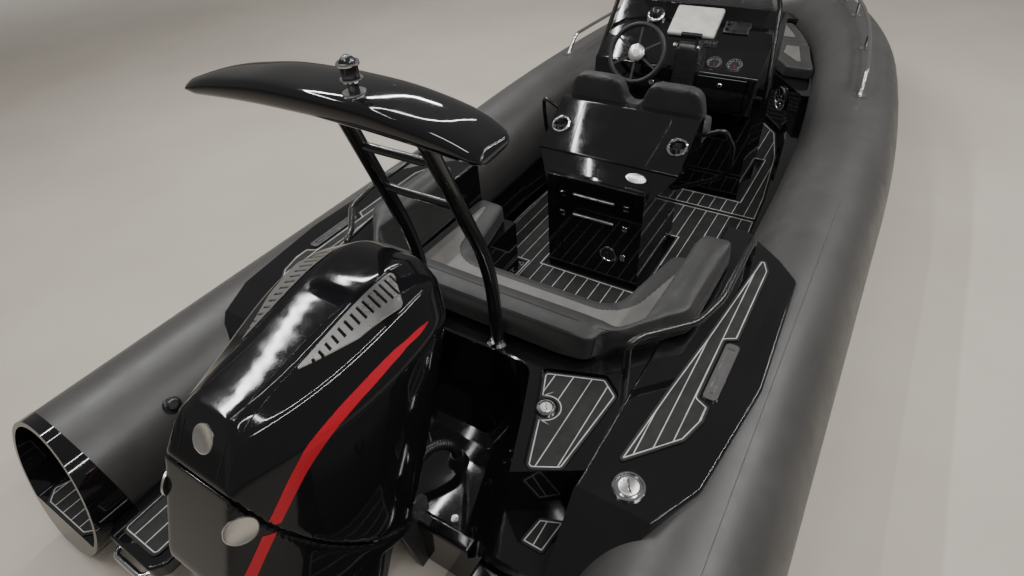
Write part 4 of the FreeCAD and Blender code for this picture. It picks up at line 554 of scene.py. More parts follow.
def swell(piece, pressure, most):
    """Blows the piece up as cloth and keeps the result, with each point near its start."""
    before = points_of(piece.data)
    cloth = piece.modifiers.new("cloth", "CLOTH")
    cloth.settings.use_pressure = True
    cloth.settings.uniform_pressure_force = pressure
    cloth.settings.effector_weights.gravity = 0
    cloth.settings.quality = 3
    cloth.settings.mass = 0.3
    cloth.settings.tension_stiffness = 40
    cloth.settings.compression_stiffness = 40
    cloth.settings.bending_stiffness = 2
    cloth.point_cache.frame_start = 1
    cloth.point_cache.frame_end = FRAMES
    for step in range(1, FRAMES + 1):
        bpy.context.scene.frame_set(step)
    graph = bpy.context.evaluated_depsgraph_get()
    moves = points_of(piece.evaluated_get(graph).data) - before
    piece.modifiers.remove(cloth)
    bpy.context.scene.frame_set(1)
    lengths = np.linalg.norm(moves, axis=1, keepdims=True)
    set_points(piece.data, before + moves * np.minimum(1, most / np.maximum(lengths, 1e-9)))


# y and z of half of the helm backrest's outline, from the middle of its top to its foot
BACKREST_EDGE = [
    (0.0, 0.884), (0.022, 0.888), (0.044, 0.910), (0.062, 0.952), (0.086, 0.988), (0.125, 1.004),
    (0.210, 1.008), (0.300, 1.004), (0.346, 0.984), (0.372, 0.945), (0.385, 0.880), (0.389, 0.822),
]
BACKREST_X = (2.250, 2.330)
BACKREST_POINTS = 60


def backrest_block():
    """The helm's double backrest as a slab with two humps."""
    edge = smooth_path([Vector(p) for p in BACKREST_EDGE], BACKREST_POINTS)
    outline = [(-y, z) for y, z in reversed(edge)] + [(y, z) for y, z in edge[1:]]
    verts = [(x, y, z) for x in BACKREST_X for y, z in outline]
    bm = bmesh.new()
    bm.from_mesh(mesh_from("backrest_block", verts, skin(2, len(outline))))
    bmesh.ops.recalc_face_normals(bm, faces=bm.faces)
    return mesh_of(bm, "backrest_slab")


# node: distance of the sewn panel from the cushion's edge
PANELS = {"bench_cushion": 0.070, "bow_cushion": 0.085, "helm_cushions": 0.060, "console_seat": 0.050}
PANEL_NET = 0.009
SEAM_W = 0.005
SEAM_LIFT = 0.0009
PANEL_LIFT = 0.0016
# share of the net's pitch within which a point outside the panel is drawn onto its edge
SNAP = 0.7
DOWN = Vector((0, 0, -1))
# a height above the whole boat, to cast rays from
ABOVE = 5.0


def surface_now(piece):
    """The surface of a piece with its modifiers."""
    bpy.context.view_layer.update()
    final = piece.evaluated_get(bpy.context.evaluated_depsgraph_get()).to_mesh()
    verts = [v.co.copy() for v in final.vertices]
    return BVHTree.FromPolygons(verts, [tuple(f.vertices) for f in final.polygons])


def edge_field(node):
    """Grid points over a cushion's flat top, their distance from its edge, and the nearest edge points."""
    bm = top_faces(node)
    flat = BVHTree.FromBMesh(bm)
    ends = np.array([[*e.verts[0].co.xy, *e.verts[1].co.xy] for e in bm.edges if e.is_boundary])
    low = np.minimum(ends[:, :2].min(axis=0), ends[:, 2:].min(axis=0))
    high = np.maximum(ends[:, :2].max(axis=0), ends[:, 2:].max(axis=0))
    counts = np.ceil((high - low) / PANEL_NET).astype(int) + 1
    lines = [low[i] + PANEL_NET * np.arange(counts[i]) for i in (0, 1)]
    points = np.stack(np.meshgrid(*lines, indexing="ij"), axis=-1).reshape(-1, 1, 2)
    start, run = ends[None, :, :2], (ends[:, 2:] - ends[:, :2])[None]
    share = ((points - start) * run).sum(axis=2) / np.maximum((run ** 2).sum(axis=2), 1e-12)
    near = start + run * np.clip(share, 0, 1)[..., None]
    gaps = np.linalg.norm(points - near, axis=2)
    nearest = gaps.argmin(axis=1)
    rows = np.arange(len(gaps))
    gap = gaps[rows, nearest]
    for i, (x, y) in enumerate(points[:, 0]):
        if flat.ray_cast(Vector((x, y, ABOVE)), DOWN)[0] is None:
            gap[i] = -1
    bm.free()
    return counts, points[:, 0], gap, near[rows, nearest]


def make_panel(node, cover):
    """The panel sewn on a cushion's top, with a dark seam around it, laid on the swollen cover. The panel's
    paler vinyl is painted light, as the lamps fall on the top.
    """
    counts, points, gap, near = edge_field(node)
    surface = surface_now(cover)
    # the panel's paler vinyl is painted light on the cushion top; the seam around it is a sewn seam
    for part, margin, lift, finish in (("seam", PANELS[node] - SEAM_W, SEAM_LIFT, "seam"),
                                       ("panel", PANELS[node], PANEL_LIFT, "vinyl_painted_light")):
        verts, index = [], {}
        for i in np.flatnonzero(gap > margin - SNAP * PANEL_NET):
            x, y = points[i] if gap[i] > margin else near[i] + (points[i] - near[i]) * margin / gap[i]
            hit, normal, _, _ = surface.ray_cast(Vector((x, y, ABOVE)), DOWN)
            if hit is not None:
                index[i] = len(verts)
                verts.append(hit + normal * lift)
        faces = []
        for i in index:
            quad = (i, i + counts[1], i + counts[1] + 1, i + 1)
            if (i + 1) % counts[1] and all(k in index for k in quad):
                faces.append(tuple(index[k] for k in quad))
        piece = new_object(f"{node}_{part}", mesh_from(f"{node}_{part}", verts, faces), finish)


def make_cushions():
    for node, voxel, pressure, most, finish, fill in CUSHIONS:
        source = backrest_block() if node == "helm_backrests" else NODES[node].data
        piece = voxel_copy(node + "_cover", source, voxel)
        draw_in(piece)
        swell(piece, pressure, most)
        smoothed(piece, COVER_ROUNDS)
        dress(piece, finish, "boat")
        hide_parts(node)
        if node in PANELS:
            make_panel(node, piece)


# ---- Mast

WING_AFT_X = 0.200
WING_HALF = 0.490
# share of the half span, front x, lower z, upper z
WING_SECTIONS = [(0.0, 0.405, 1.652, 1.726), (0.35, 0.401, 1.648, 1.722), (0.6, 0.392, 1.642, 1.708),
                 (0.8, 0.374, 1.635, 1.694), (0.93, 0.350, 1.630, 1.678), (0.985, 0.326, 1.633, 1.668),
                 (1.0, 0.310, 1.640, 1.658)]
WING_EDGE = 0.012
WING_ROWS = 26
TIP_START = 0.93
TIP_SWEEP = 0.06


def cut_corners(points):
    """One Chaikin step around a closed outline."""
    out = []
    for a, b in zip(points, points[1:] + points[:1]):
        out += [a.lerp(b, 0.25), a.lerp(b, 0.75)]
    return out


def make_wing():
    """The mast's wing as one smooth skin."""
    half = smooth_path([Vector(row) for row in WING_SECTIONS], WING_ROWS)
    rows = [Vector((-r[0], r[1], r[2], r[3])) for r in reversed(half[1:])] + list(half)
    verts = []
    for share, front, low, high in rows:
        nose = (low + high) / 2
        edge = min(WING_EDGE, (high - low) / 3)
        aft = WING_AFT_X + TIP_SWEEP * max(0.0, abs(share) - TIP_START)
        outline = [Vector(p) for p in (
            (aft, low + edge), (aft, high - edge), (aft + 2 * edge, high), (front - 0.09, high),
            (front - 0.035, high - 0.25 * (high - nose)), (front - 0.008, nose + edge), (front, nose),
            (front - 0.008, nose - edge), (front - 0.05, low), (aft + 2 * edge, low))]
        outline = cut_corners(cut_corners(outline))
        verts += [(x, share * WING_HALF, z) for x, z in outline]
    faces = [(face[0], *reversed(face[1:])) for face in skin(len(rows), len(outline))]
    wing = new_object("wing", mesh_from("wing", verts, faces), "gelcoat")
    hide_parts("mast_wing")


LAMP_AT = Vector((0.245, -0.130, 1.720))
# low and high end above the lamp's foot, radius
LAMP_RINGS = [(-0.002, 0.006, 0.028), (0.031, 0.037, 0.026), (0.065, 0.072, 0.0265)]
WING_SLOT_AT = (0.282, -0.186, 1.7165)


def make_lamp():
    up = (0, 0, 1)
    body = [(-0.004, 0.024), (0.004, 0.024), (0.006, 0.013), (0.031, 0.012), (0.036, 0.020), (0.068, 0.021),
            (0.074, 0.019), (0.082, 0.012), (0.086, 0.005)]
    lamp = lathe("lamp_body", body, LAMP_AT, up, "lamp_lens")
    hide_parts("mast_light")
    for k, (low, high, r) in enumerate(LAMP_RINGS):
        ring = [(low, r - 0.008), (low, r - 0.001), ((low + high) / 2, r), (high, r - 0.001),
                (high, r - 0.010)]
        lathe(f"lamp_ring_{k}", ring, LAMP_AT, up, "stainless")
    turn = facing((0, -0.06, 1), (0.97, 0.24, 0))
    block("wing_slot", (0.016, 0.090, 0.004), WING_SLOT_AT, turn, "seam", bevel=0.0015)


# ---- Small fittings

LATHE_SHARP = math.radians(35)
BLOCK_SHARP = math.radians(50)
SEAM_POINTS = 16
CAST_FROM = 2.0


def lathe(name, profile, place, axis, finish, body="boat", sides=40, wide=1,
          ring=False):
    """A turned piece. The profile is (distance along the axis, radius), from the back to the front, and
    closes on itself for a ring."""
    verts = []
    for along, radius in profile:
        for k in range(sides):
            angle = 2 * math.pi * k / sides
            verts.append((radius * math.cos(angle), wide * radius * math.sin(angle), along))
    mesh = mesh_from(name, verts, skin(len(profile), sides, ring))
    turn = Vector((0, 0, 1)).rotation_difference(Vector(axis)).to_matrix().to_4x4()
    mesh.transform(Matrix.Translation(place) @ turn)
    piece = new_object(name, mesh, finish, body)
    mesh.set_sharp_from_angle(angle=LATHE_SHARP)
    return piece


def block(name, size, place, turn, finish, body="boat", bevel=0.004):
    """A rounded block, with its size along its own axes; turn is a rotation matrix."""
    bm = bmesh.new()
    bmesh.ops.create_cube(bm, size=1)
    bmesh.ops.scale(bm, vec=size, verts=bm.verts)
    bmesh.ops.bevel(bm, geom=bm.edges[:], offset=bevel, segments=3, profile=0.5, affect="EDGES")
    mesh = mesh_of(bm, name)
    mesh.transform(Matrix.Translation(place) @ turn.to_4x4())
    piece = new_object(name, mesh, finish, body)
    mesh.set_sharp_from_angle(angle=BLOCK_SHARP)
    return piece


def rod(name, points, radius, finish, body="boat"):
    return new_object(name, line_mesh(name, points, radius), finish, body)


def surface_of(*pieces):
    """The surface of pieces as they are built, to cast rays at."""
    verts, faces = [], []
    for piece in pieces:
        mesh = piece.data
        start = len(verts)
        verts += [v.co.copy() for v in mesh.vertices]
        faces += [tuple(start + i for i in p.vertices) for p in mesh.polygons]
    return BVHTree.FromPolygons(verts, faces)


def decal(name, surface, rows, direction, lift, finish, body):
    """A thin skin laid on a surface, from rows of points that are each cast along the direction."""
    direction = Vector(direction).normalized()
    verts, grid = [], []
    for row in rows:
        line = []
        for point in row:
            hit, normal, _, _ = surface.ray_cast(Vector(point) - direction * CAST_FROM, direction)
            if hit is None:
                line.append(None)
                continue
            if normal.dot(direction) > 0:
                normal = -normal
            line.append(len(verts))
            verts.append(hit + normal * lift)
        grid.append(line)
    faces = []
    for a, b in zip(grid, grid[1:]):
        for k in range(len(a) - 1):
            quad = (a[k], a[k + 1], b[k + 1], b[k])
            if None not in quad:
                faces.append(quad)
    return new_object(name, mesh_from(name, verts, faces), finish, body)


def surface_line(surface, points, count):
    """A smooth line through the points, laid on a surface."""
    return [surface.find_nearest(p)[0] for p in smooth_path(points, count)]


def seam(name, surface, points, radius, finish, body="boat"):
    """A fine bead along a surface."""
    line = surface_line(surface, [Vector(p) for p in points], SEAM_POINTS)
    return rod(name, line, radius, finish, body)


# The red stripe on the upright engine, above and below the covers' seam: x and z of its upper
# edge, then of its lower edge
STRIPE_UPPER = [
    (-0.149, 0.793, -0.151, 0.790), (-0.195, 0.779, -0.190, 0.768), (-0.234, 0.760, -0.232, 0.748),
    (-0.273, 0.740, -0.264, 0.726), (-0.321, 0.707, -0.296, 0.703), (-0.371, 0.667, -0.337, 0.669),
    (-0.413, 0.631, -0.381, 0.631), (-0.443, 0.603, -0.412, 0.600), (-0.479, 0.567, -0.437, 0.573),
    (-0.508, 0.533, -0.459, 0.542), (-0.525, 0.498, -0.480, 0.507), (-0.543, 0.454, -0.501, 0.467),
    (-0.560, 0.405, -0.522, 0.415), (-0.577, 0.356, -0.540, 0.368), (-0.586, 0.326, -0.555, 0.326),
]
STRIPE_LOWER = [
    (-0.595, 0.300, -0.563, 0.300), (-0.603, 0.273, -0.573, 0.271), (-0.619, 0.224, -0.591, 0.217),
    (-0.631, 0.190, -0.603, 0.178), (-0.648, 0.135, -0.622, 0.118),
]
STRIPE_ROWS = 90
STRIPE_POINTS = 9
STRIPE_LIFT = 0.0012
COWL_BEAD_R = 0.0016
# x, y and z on the upright engine of the two beads along each side of the cover's top
COWL_BEADS = [
    [(-0.134, 0.100, 0.901), (-0.231, 0.092, 0.861), (-0.312, 0.080, 0.811), (-0.387, 0.068, 0.757),
     (-0.460, 0.065, 0.704), (-0.533, 0.068, 0.657), (-0.598, 0.075, 0.617), (-0.618, 0.078, 0.600),
     (-0.639, 0.079, 0.545), (-0.658, 0.076, 0.460)],
    [(-0.150, 0.128, 0.887), (-0.278, 0.120, 0.827), (-0.364, 0.108, 0.770), (-0.420, 0.101, 0.735),
     (-0.490, 0.099, 0.682), (-0.570, 0.101, 0.621), (-0.602, 0.103, 0.597), (-0.633, 0.110, 0.550),
     (-0.654, 0.113, 0.475)],
]
# node, voxel, rounds of smoothing
SOFTENED = [("engine_cowl", 0.0078, 14), ("engine_lower_cowl", 0.0075, 9)]


def soften():
    """The engine's covers with their edges rounded, as moulded skins have them."""
    for node, voxel, rounds in SOFTENED:
        piece = voxel_copy(node + "_skin", NODES[node].data, voxel)
        bpy.ops.object.modifier_apply(modifier=smoothed(piece, rounds).name)
        dress(piece, "engine_black", "engine")
        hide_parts(node)


# place and facing of the blank badges, radius
BADGES = [
    ((-0.438, -0.141, 0.903), (-0.42, -0.89, 0.19), 0.042),
    ((-0.438, 0.141, 0.903), (-0.42, 0.89, 0.19), 0.042),
    ((-0.359, 0.0, 1.080), (-0.79, 0.0, 0.61), 0.038),
]


def make_engine_trim():
    cover = surface_of(bpy.data.objects["engine_cowl_skin"], bpy.data.objects["engine_lower_cowl_skin"])
    for side, label in SIDES:
        for part, stations in (("upper", STRIPE_UPPER), ("lower", STRIPE_LOWER)):
            rows = []
            for x0, z0, x1, z1 in smooth_path(stations, STRIPE_ROWS):
                row = []
                for k in range(STRIPE_POINTS):
                    share = k / (STRIPE_POINTS - 1)
                    row.append(TILT @ Vector((x0 + (x1 - x0) * share, 0, z0 + (z1 - z0) * share)))
                rows.append(row)
            decal(f"stripe_{part}_{label}", cover, rows, (0, -side, 0), STRIPE_LIFT, "red_stripe", "engine")
        for k, bead in enumerate(COWL_BEADS):
            points = [TILT @ Vector((x, side * y, z)) for x, y, z in bead]
            seam(f"cowl_bead_{label}_{k}", cover, points, COWL_BEAD_R, "engine_black", body="engine")
    for k, (place, axis, r) in enumerate(BADGES):
        profile = [(-0.004, r), (0.002, r), (0.003, 0.94 * r), (0.0015, 0.88 * r)]
        lathe(f"badge_{k}", profile, place, axis, "engine_silver", "engine")


# place on the dash, radius
GAUGES = [((2.900, -0.230, 0.912), 0.044), ((2.905, -0.345, 0.912), 0.044)]
DASH_UP = Vector((-0.437, 0, 0.899))
PLOTTER_AT = Vector((3.133, -0.022, 1.056))
RADIO_AT = Vector((3.133, -0.272, 1.044))
SWITCHES_AT = Vector((3.023, -0.144, 0.976))
COMPASS_AT = (3.15, 0.24, 1.062)
COMPASS_R = 0.040
SLOPE_UP = (-0.53, 0, 0.85)
CONSOLE_OUT = (-0.978, 0, 0.208)
START_BUTTONS = [(2.812, 0.11, 0.780), (2.812, 0.03, 0.780)]
GLOVEBOX_KNOB_AT = (2.806, -0.305, 0.825)
DIAL_MARKS = 11
DIAL_START_DEG = -120
DIAL_STEP_DEG = 24
NEEDLE_DEG = 200


def make_dial(name, place, r, axis):
    """A round instrument: a chrome ring, and a dark face with marks and a needle."""
    lathe(name + "_ring", [(-0.02, r), (0.006, r), (0.010, 0.96 * r), (0.010, 0.88 * r), (0.004, 0.84 * r),
                           (-0.02, 0.84 * r)], place, axis, "stainless", ring=True)
    lathe(name + "_face", [(-0.02, 0.83 * r), (0.002, 0.83 * r)], place, axis, "dial_face")
    turn = Vector((0, 0, 1)).rotation_difference(Vector(axis)).to_matrix()
    for k in range(DIAL_MARKS):
        angle = math.radians(DIAL_START_DEG + DIAL_STEP_DEG * k)
        spin = turn @ Matrix.Rotation(angle, 3, "Z")
        mark = Vector(place) + spin @ Vector((0.70 * r, 0, 0.0026))
        block(f"{name}_mark_{k}", (0.14 * r, 0.03 * r, 0.0006), mark, spin, "white_mark", bevel=0.0001)
    needle = turn @ Matrix.Rotation(math.radians(NEEDLE_DEG), 3, "Z")
    middle = Vector(place) + needle @ Vector((0.25 * r, 0, 0.004))
    block(name + "_needle", (0.6 * r, 0.04 * r, 0.001), middle, needle, "red_stripe", bevel=0.0002)


def make_dash():
    for k, (place, radius) in enumerate(GAUGES):
        make_dial(f"gauge_{k}", place, radius, DASH_UP)
    lathe("compass_base", [(-0.02, 0.056), (0.012, 0.056), (0.020, 0.048), (0.022, COMPASS_R)],
          COMPASS_AT, SLOPE_UP, "stainless")
    turns = [math.radians(a) for a in range(0, 90, 12)]
    dome = [(COMPASS_R * math.sin(a) + 0.020, COMPASS_R * math.cos(a)) for a in turns]
    lathe("compass_dome", dome, COMPASS_AT, SLOPE_UP, "dial_face")
    slope = facing(SLOPE_UP, (0.85, 0, 0.53))
    cover = block("plotter_cover", (0.290, 0.215, 0.034), PLOTTER_AT, slope, "plotter_case",
                  bevel=0.013)
    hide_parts("plotter")
    block("radio", (0.150, 0.088, 0.018), RADIO_AT, slope, "trim_plastic", bevel=0.006)
    block("radio_display", (0.085, 0.045, 0.003), RADIO_AT + slope @ Vector((0.015, 0, 0.010)), slope,
          "dial_face", bevel=0.0012)
    for k in range(2):
        lathe(f"radio_knob_{k}", [(0, 0.010), (0.012, 0.009), (0.014, 0.007)],
              RADIO_AT + slope @ Vector((-0.052, 0.018 - 0.036 * k, 0.008)), slope.col[2], "trim_plastic")
    block("switch_panel", (0.110, 0.050, 0.006), SWITCHES_AT, slope, "dial_face", bevel=0.0025)
    for k in range(4):
        place = SWITCHES_AT + slope @ Vector((-0.038 + 0.0255 * k, 0, 0.006))
        block(f"switch_{k}", (0.016, 0.028, 0.010), place, slope, "trim_plastic", bevel=0.003)
    for k, place in enumerate(START_BUTTONS):
        lathe(f"start_button_{k}", [(-0.01, 0.016), (0.004, 0.016), (0.007, 0.012), (0.005, 0.010)], place,
              CONSOLE_OUT, "stainless")
    lathe("glovebox_knob", [(-0.004, 0.013), (0.010, 0.013), (0.013, 0.009)], GLOVEBOX_KNOB_AT, CONSOLE_OUT,
          "stainless", body="glovebox_lid")


WHEEL_AT = Vector((2.790, 0.210, 0.950))
WHEEL_LEAN = math.radians(30)
WHEEL_BACK = Vector((-math.cos(WHEEL_LEAN), 0, math.sin(WHEEL_LEAN)))


def make_wheel_hub():
    lathe("wheel_hub", [(0.004, 0.052), (0.014, 0.050), (0.018, 0.042)], WHEEL_AT, WHEEL_BACK,
          "engine_silver", body="steering_wheel")
    lathe("wheel_cap", [(0.014, 0.024), (0.019, 0.023), (0.021, 0.016)], WHEEL_AT, WHEEL_BACK,
          "white_mark", body="steering_wheel")


def ring_profile(radius, width, height):
    """A rounded ring's section, for lathe."""
    return [(0, radius), (height * 0.6, radius), (height, radius - width * 0.3),
            (height, radius - width * 0.8), (height * 0.5, radius - width), (0, radius - width)]


# x of the seat box's aft face, where its latches lie
BOX_AFT_X = 1.788
DRAWER_LATCH_Y = 0.185
DRAWER_LATCH_Z = {"seat_drawer_low": 0.405, "seat_drawer_high": 0.530}
DOOR_LATCH_AT = (BOX_AFT_X, -0.185, 0.215)
PORTHOLE_AT = (1.7895, -0.100, 0.215)
UPRIGHT = Matrix.Identity(3)
CUP_X = 2.050
CUP_Y = 0.33
CUP_UP = (-0.545, 0, 0.838)
# how far aft of a cup the box's top is looked for, and how steeply it rises from there
CUP_LOOK_AFT = 0.05
HOOD_RISE = 0.65


def cup_rim(y):
    """Where a cup's rim lies on the seat box's sloping top."""
    box = surface_of(NODES["seat_box"])
    hit = box.ray_cast(Vector((CUP_X - CUP_LOOK_AFT, y, ABOVE)), DOWN)[0]
    return Vector((CUP_X, y, hit.z + CUP_LOOK_AFT * HOOD_RISE))


def make_seat_fittings():
    aft = (-1, 0, 0)
    lathe("porthole_ring", ring_profile(0.052, 0.013, 0.007), PORTHOLE_AT, aft, "stainless",
          body="seat_box_door", ring=True)
    lathe("porthole_cover", [(0, 0.040), (0.002, 0.040)], PORTHOLE_AT, aft, "dial_face",
          body="seat_box_door")
    block("door_latch", (0.006, 0.026, 0.040), DOOR_LATCH_AT, UPRIGHT, "stainless",
          body="seat_box_door", bevel=0.0025)
    for name, z in DRAWER_LATCH_Z.items():
        for k, y in enumerate((-DRAWER_LATCH_Y, DRAWER_LATCH_Y)):
            block(f"{name}_latch_{k}", (0.006, 0.030, 0.030), (BOX_AFT_X + 0.002, y, z), UPRIGHT, "stainless",
                  body=name, bevel=0.0025)
        block(name + "_pull", (0.010, 0.240, 0.012), (BOX_AFT_X, 0, z + 0.010), UPRIGHT, "engine_silver",
              body=name, bevel=0.003)
    rim = [(0, 0.052), (0.004, 0.052), (0.007, 0.048), (0.007, 0.043), (0.003, 0.0405), (-0.004, 0.0405),
           (-0.004, 0.049)]
    for k, y in enumerate((-CUP_Y, CUP_Y)):
        lathe(f"cup_ring_{k}", rim, cup_rim(y), CUP_UP, "stainless", ring=True)


# the creases down the hood: from its top to its edge, for one side
HOOD_CREASE = [(2.180, 0.252, 0.872), (2.050, 0.234, 0.790), (1.925, 0.214, 0.708)]
HOOD_PLATE_AT = (1.884, -0.190, 0.662)
HOOD_PLATE_UP = (-0.69, 0, 0.72)
HOOD_CREASE_R = 0.0022


def make_hood_trim():
    box = surface_of(NODES["seat_box"])
    for side, label in SIDES:
        line = [(x, side * y, z) for x, y, z in HOOD_CREASE]
        seam(f"hood_crease_{label}", box, line, HOOD_CREASE_R, "gelcoat")
    plate = [(-0.004, 0.026), (0.002, 0.026), (0.0035, 0.023), (0.0025, 0.020)]
    lathe("hood_plate", plate, HOOD_PLATE_AT, HOOD_PLATE_UP, "engine_silver", wide=2.1)


THROTTLE_AT = Vector((2.842, -0.075, 1.004))


def make_throttle():
    """The double lever's head: a grey grip across two arms, with a bright knob at each end."""
    knob = [(-0.012, 0.008), (-0.008, 0.014), (0, 0.016), (0.008, 0.014), (0.013, 0.007)]
    for k, side in enumerate((-1, 1)):
        top = THROTTLE_AT + Vector((0, side * 0.068, 0))
        middle = top + Vector((0.004, -side * 0.008, -0.03))
        foot = top + Vector((0.012, -side * 0.014, -0.075))
        lathe(f"throttle_knob_{k}", knob, top, (0, side, 0), "stainless")
        rod(f"throttle_arm_{k}", [top, middle, foot], 0.006, "stainless")
    grip = [(-0.045, 0.010), (-0.038, 0.015), (0.038, 0.015), (0.045, 0.010)]
    lathe("throttle_grip", grip, THROTTLE_AT, (0, 1, 0), "cast_block")


# the route of the rigging hose, as in the CAD
HOSE_ROUTE = [(0.330, -0.118, 0.2053), (0.330, -0.118, 0.258), (0.290, -0.084, 0.305), (0.225, -0.052, 0.300),
              (0.160, -0.032, 0.262), (0.112, -0.026, 0.222), (0.0603, -0.026, 0.222)]
HOSE_R = 0.022
HOSE_PITCH = 0.009
HOSE_GROOVE = 0.00256
HOSE_SIDES = 24
POINTS_A_RING = 4


def even_points(points, pitch):
    """The same line with evenly spaced points."""
    lengths = [0.0]
    for a, b in zip(points, points[1:]):
        lengths.append(lengths[-1] + (b - a).length)
    count = max(2, round(lengths[-1] / pitch))
    out, i = [], 0
    for k in range(count + 1):
        want = lengths[-1] * k / count
        while i < len(points) - 2 and lengths[i + 1] < want:
            i += 1
        share = (want - lengths[i]) / max(lengths[i + 1] - lengths[i], 1e-9)
        out.append(points[i].lerp(points[i + 1], share))
    return out


def make_hose():
    """The corrugated rigging hose: rings that swell and narrow along its line."""
    route = [v.co.copy() for v in line_mesh("route", HOSE_ROUTE, steps=24).vertices]
    line = even_points(route, HOSE_PITCH / POINTS_A_RING)
    side = Vector((0, 1, 0))
    verts = []
    for i, point in enumerate(line):
        ahead = (line[min(i + 1, len(line) - 1)] - line[max(i - 1, 0)]).normalized()
        side = (side - ahead * side.dot(ahead)).normalized()
        other = ahead.cross(side)
        radius = HOSE_R - HOSE_GROOVE * (1 - math.cos(2 * math.pi * i / POINTS_A_RING)) / 2
        for k in range(HOSE_SIDES):
            angle = 2 * math.pi * k / HOSE_SIDES
            verts.append(point + side * radius * math.cos(angle) + other * radius * math.sin(angle))
    faces = skin(len(line), HOSE_SIDES, caps=False)
    hose = new_object("hose_rigging", mesh_from("hose_rigging", verts, faces), "hose")
    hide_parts("rigging_hoses")


TUBE_SEAM_X = (-0.30, 0.62, 1.95, 3.30)
TUBE_SEAM_Y = 1.110
TUBE_AXIS_Y = 1.05
TUBE_AXIS_Z = 0.33
AROUND_TUBE_R = 0.3
TUBE_BEAD_R = 0.0012
SEWN_SEAM_R = 0.0018
# x and z of a line over the bench's backrest, from its back to its front
OVER_BACKREST = [(0.650, 0.50), (0.650, 0.70), (0.705, 0.76), (0.765, 0.72), (0.770, 0.48)]
BACKREST_SEAMS = [[(x, y, 0.755) for y in (-0.58, -0.30, 0.0, 0.30, 0.58)] for x in (0.672, 0.742)]
BACKREST_SEAMS += [[(x, y, z) for x, z in OVER_BACKREST] for y in (-0.60, 0.60)]


def make_seams():
    """The glued seams of the tubes and the sewn ones of the backrest."""
    for side, label in SIDES:
        node = "tube_" + label
        tube = surface_of(NODES[node])
        for k, x in enumerate(TUBE_SEAM_X):
            ring = []
            for angle in range(-15, 180, 15):
                y = TUBE_AXIS_Y + AROUND_TUBE_R * math.cos(math.radians(angle))
                z = TUBE_AXIS_Z + AROUND_TUBE_R * math.sin(math.radians(angle))
                ring.append((x, side * y, z))
            seam(f"{node}_seam_{k}", tube, ring, TUBE_BEAD_R, "tube_fabric")
        line = [(x, side * TUBE_SEAM_Y, 0.62) for x in (-0.40, 0.2, 0.8, 1.4, 2.0, 2.2)]
        seam(f"{node}_seam_long", tube, line, TUBE_BEAD_R, "tube_fabric")
    backrest = surface_now(bpy.data.objects["bench_backrest_cover"])
    for k, line in enumerate(BACKREST_SEAMS):
        seam(f"backrest_seam_{k}", backrest, line, SEWN_SEAM_R, "seam")


SPOKES = 6


def make_speaker_trim():
    """A bright ring and spokes over each speaker by the bow steps."""
    points = points_of(NODES["speakers"].data)
    for side, label in SIDES:
        half = points[points[:, 1] * side > 0]
        low, high = Vector(half.min(axis=0)), Vector(half.max(axis=0))
        r = (high.z - low.z) / 2
        axis = Vector((-0.61, -side * 0.79, 0))
        place = (low + high) / 2 + axis * 0.002
        lathe(f"speaker_ring_{label}", ring_profile(r, 0.016, 0.010), place, axis, "stainless", ring=True)
        cap = [(0, 0.24 * r), (0.010, 0.22 * r), (0.014, 0.12 * r)]
        lathe(f"speaker_cap_{label}", cap, place, axis, "stainless")
        turn = facing(axis)
        for k in range(SPOKES):
            spin = turn @ Matrix.Rotation(math.radians(360 / SPOKES * k), 3, "Z")
            middle = place + spin @ Vector((0.52 * r, 0, 0.007))
            block(f"speaker_spoke_{label}_{k}", (0.66 * r, 0.006, 0.004), middle, spin, "stainless",
                  bevel=0.0015)


# x, y and z of the latches on one side of the seat box
BOX_LATCHES = [(2.216, 0.2785, 0.114), (2.216, 0.2785, 0.262)]


def make_box_latches():
    for k, (x, y, z) in enumerate(BOX_LATCHES):
        for side, label in SIDES:
            block(f"box_latch_{label}_{k}", (0.022, 0.006, 0.034), (x, side * y, z), UPRIGHT, "stainless",
                  bevel=0.002)


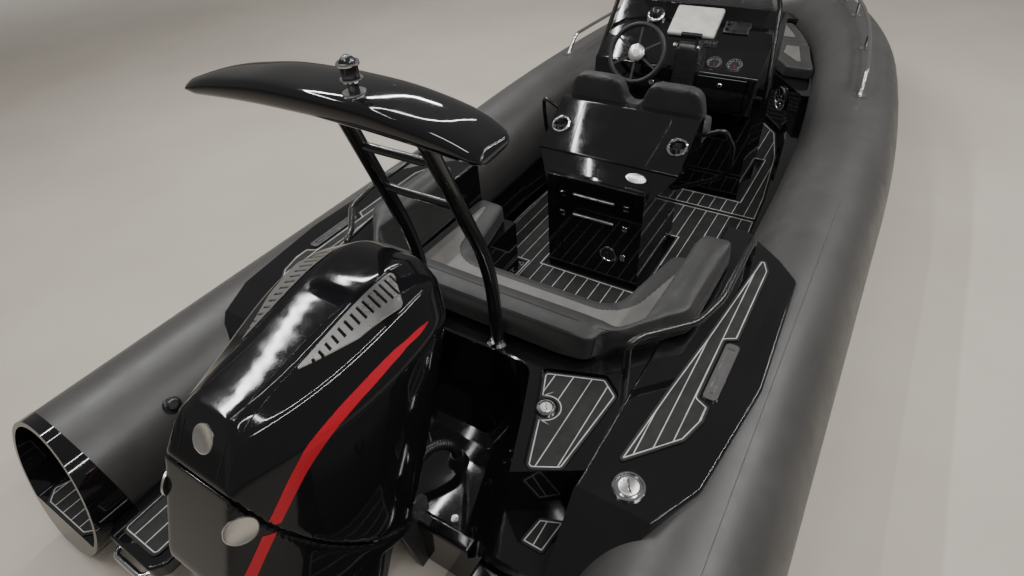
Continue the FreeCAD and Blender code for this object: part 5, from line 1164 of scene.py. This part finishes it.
# where the bolts in the well lie
WELL_BOLTS = [(0.124, -0.251, 0.150), (0.124, 0.251, 0.150), (0.420, -0.251, 0.150), (0.420, 0.251, 0.150)]
# x, y, z and radius of the filler caps' tops
CAPS = [(0.290, -0.842, 0.626, 0.050), (0.440, -0.476, 0.601, 0.034), (0.440, 0.476, 0.601, 0.034)]
TUBE_VALVE_AT = (-0.177, 0.829, 0.494)
CAP_BAR_TURN = Matrix.Rotation(0.6, 3, "Z")


def make_small_parts():
    up = (0, 0, 1)
    washer = [(0, 0.016), (0.002, 0.016), (0.003, 0.015)]
    head = [(0.002, 0.0105), (0.010, 0.0105), (0.012, 0.009)]
    valve = [(-0.004, 0.034), (0.004, 0.034), (0.008, 0.030), (0.010, 0.022), (0.022, 0.020),
             (0.026, 0.016)]
    for k, place in enumerate(WELL_BOLTS):
        lathe(f"well_washer_{k}", washer, place, up, "stainless")
        lathe(f"well_bolt_{k}", head, place, up, "stainless", sides=6)
    for k, side in enumerate((-1, 1)):
        place = (TUBE_VALVE_AT[0], side * TUBE_VALVE_AT[1], TUBE_VALVE_AT[2])
        out = (0, -side * 0.80, 0.60)
        lathe(f"tube_valve_{k}", valve, place, out, "trim_plastic")
    for k, (x, y, z, r) in enumerate(CAPS):
        face = [(0, 0.62 * r), (0.003, 0.62 * r), (0.0045, 0.56 * r)]
        lathe(f"cap_face_{k}", face, (x, y, z), up, "engine_silver")
        lathe(f"cap_rim_{k}", ring_profile(0.98 * r, 0.16 * r, 0.005), (x, y, z), up, "stainless", ring=True)
        block(f"cap_bar_{k}", (0.9 * r, 0.18 * r, 0.006), (x, y, z + 0.006), CAP_BAR_TURN, "stainless",
              bevel=0.002)


def make_fittings():
    make_wing()
    make_lamp()
    soften()
    make_engine_trim()
    make_dash()
    make_throttle()
    make_hood_trim()
    make_hose()
    make_small_parts()
    make_seams()
    make_speaker_trim()
    make_box_latches()
    make_wheel_hub()
    make_seat_fittings()


make_materials()
make_camera()
dress_nodes()
make_stage()
make_lamps()
pad_lines()
make_cushions()
make_fittings()
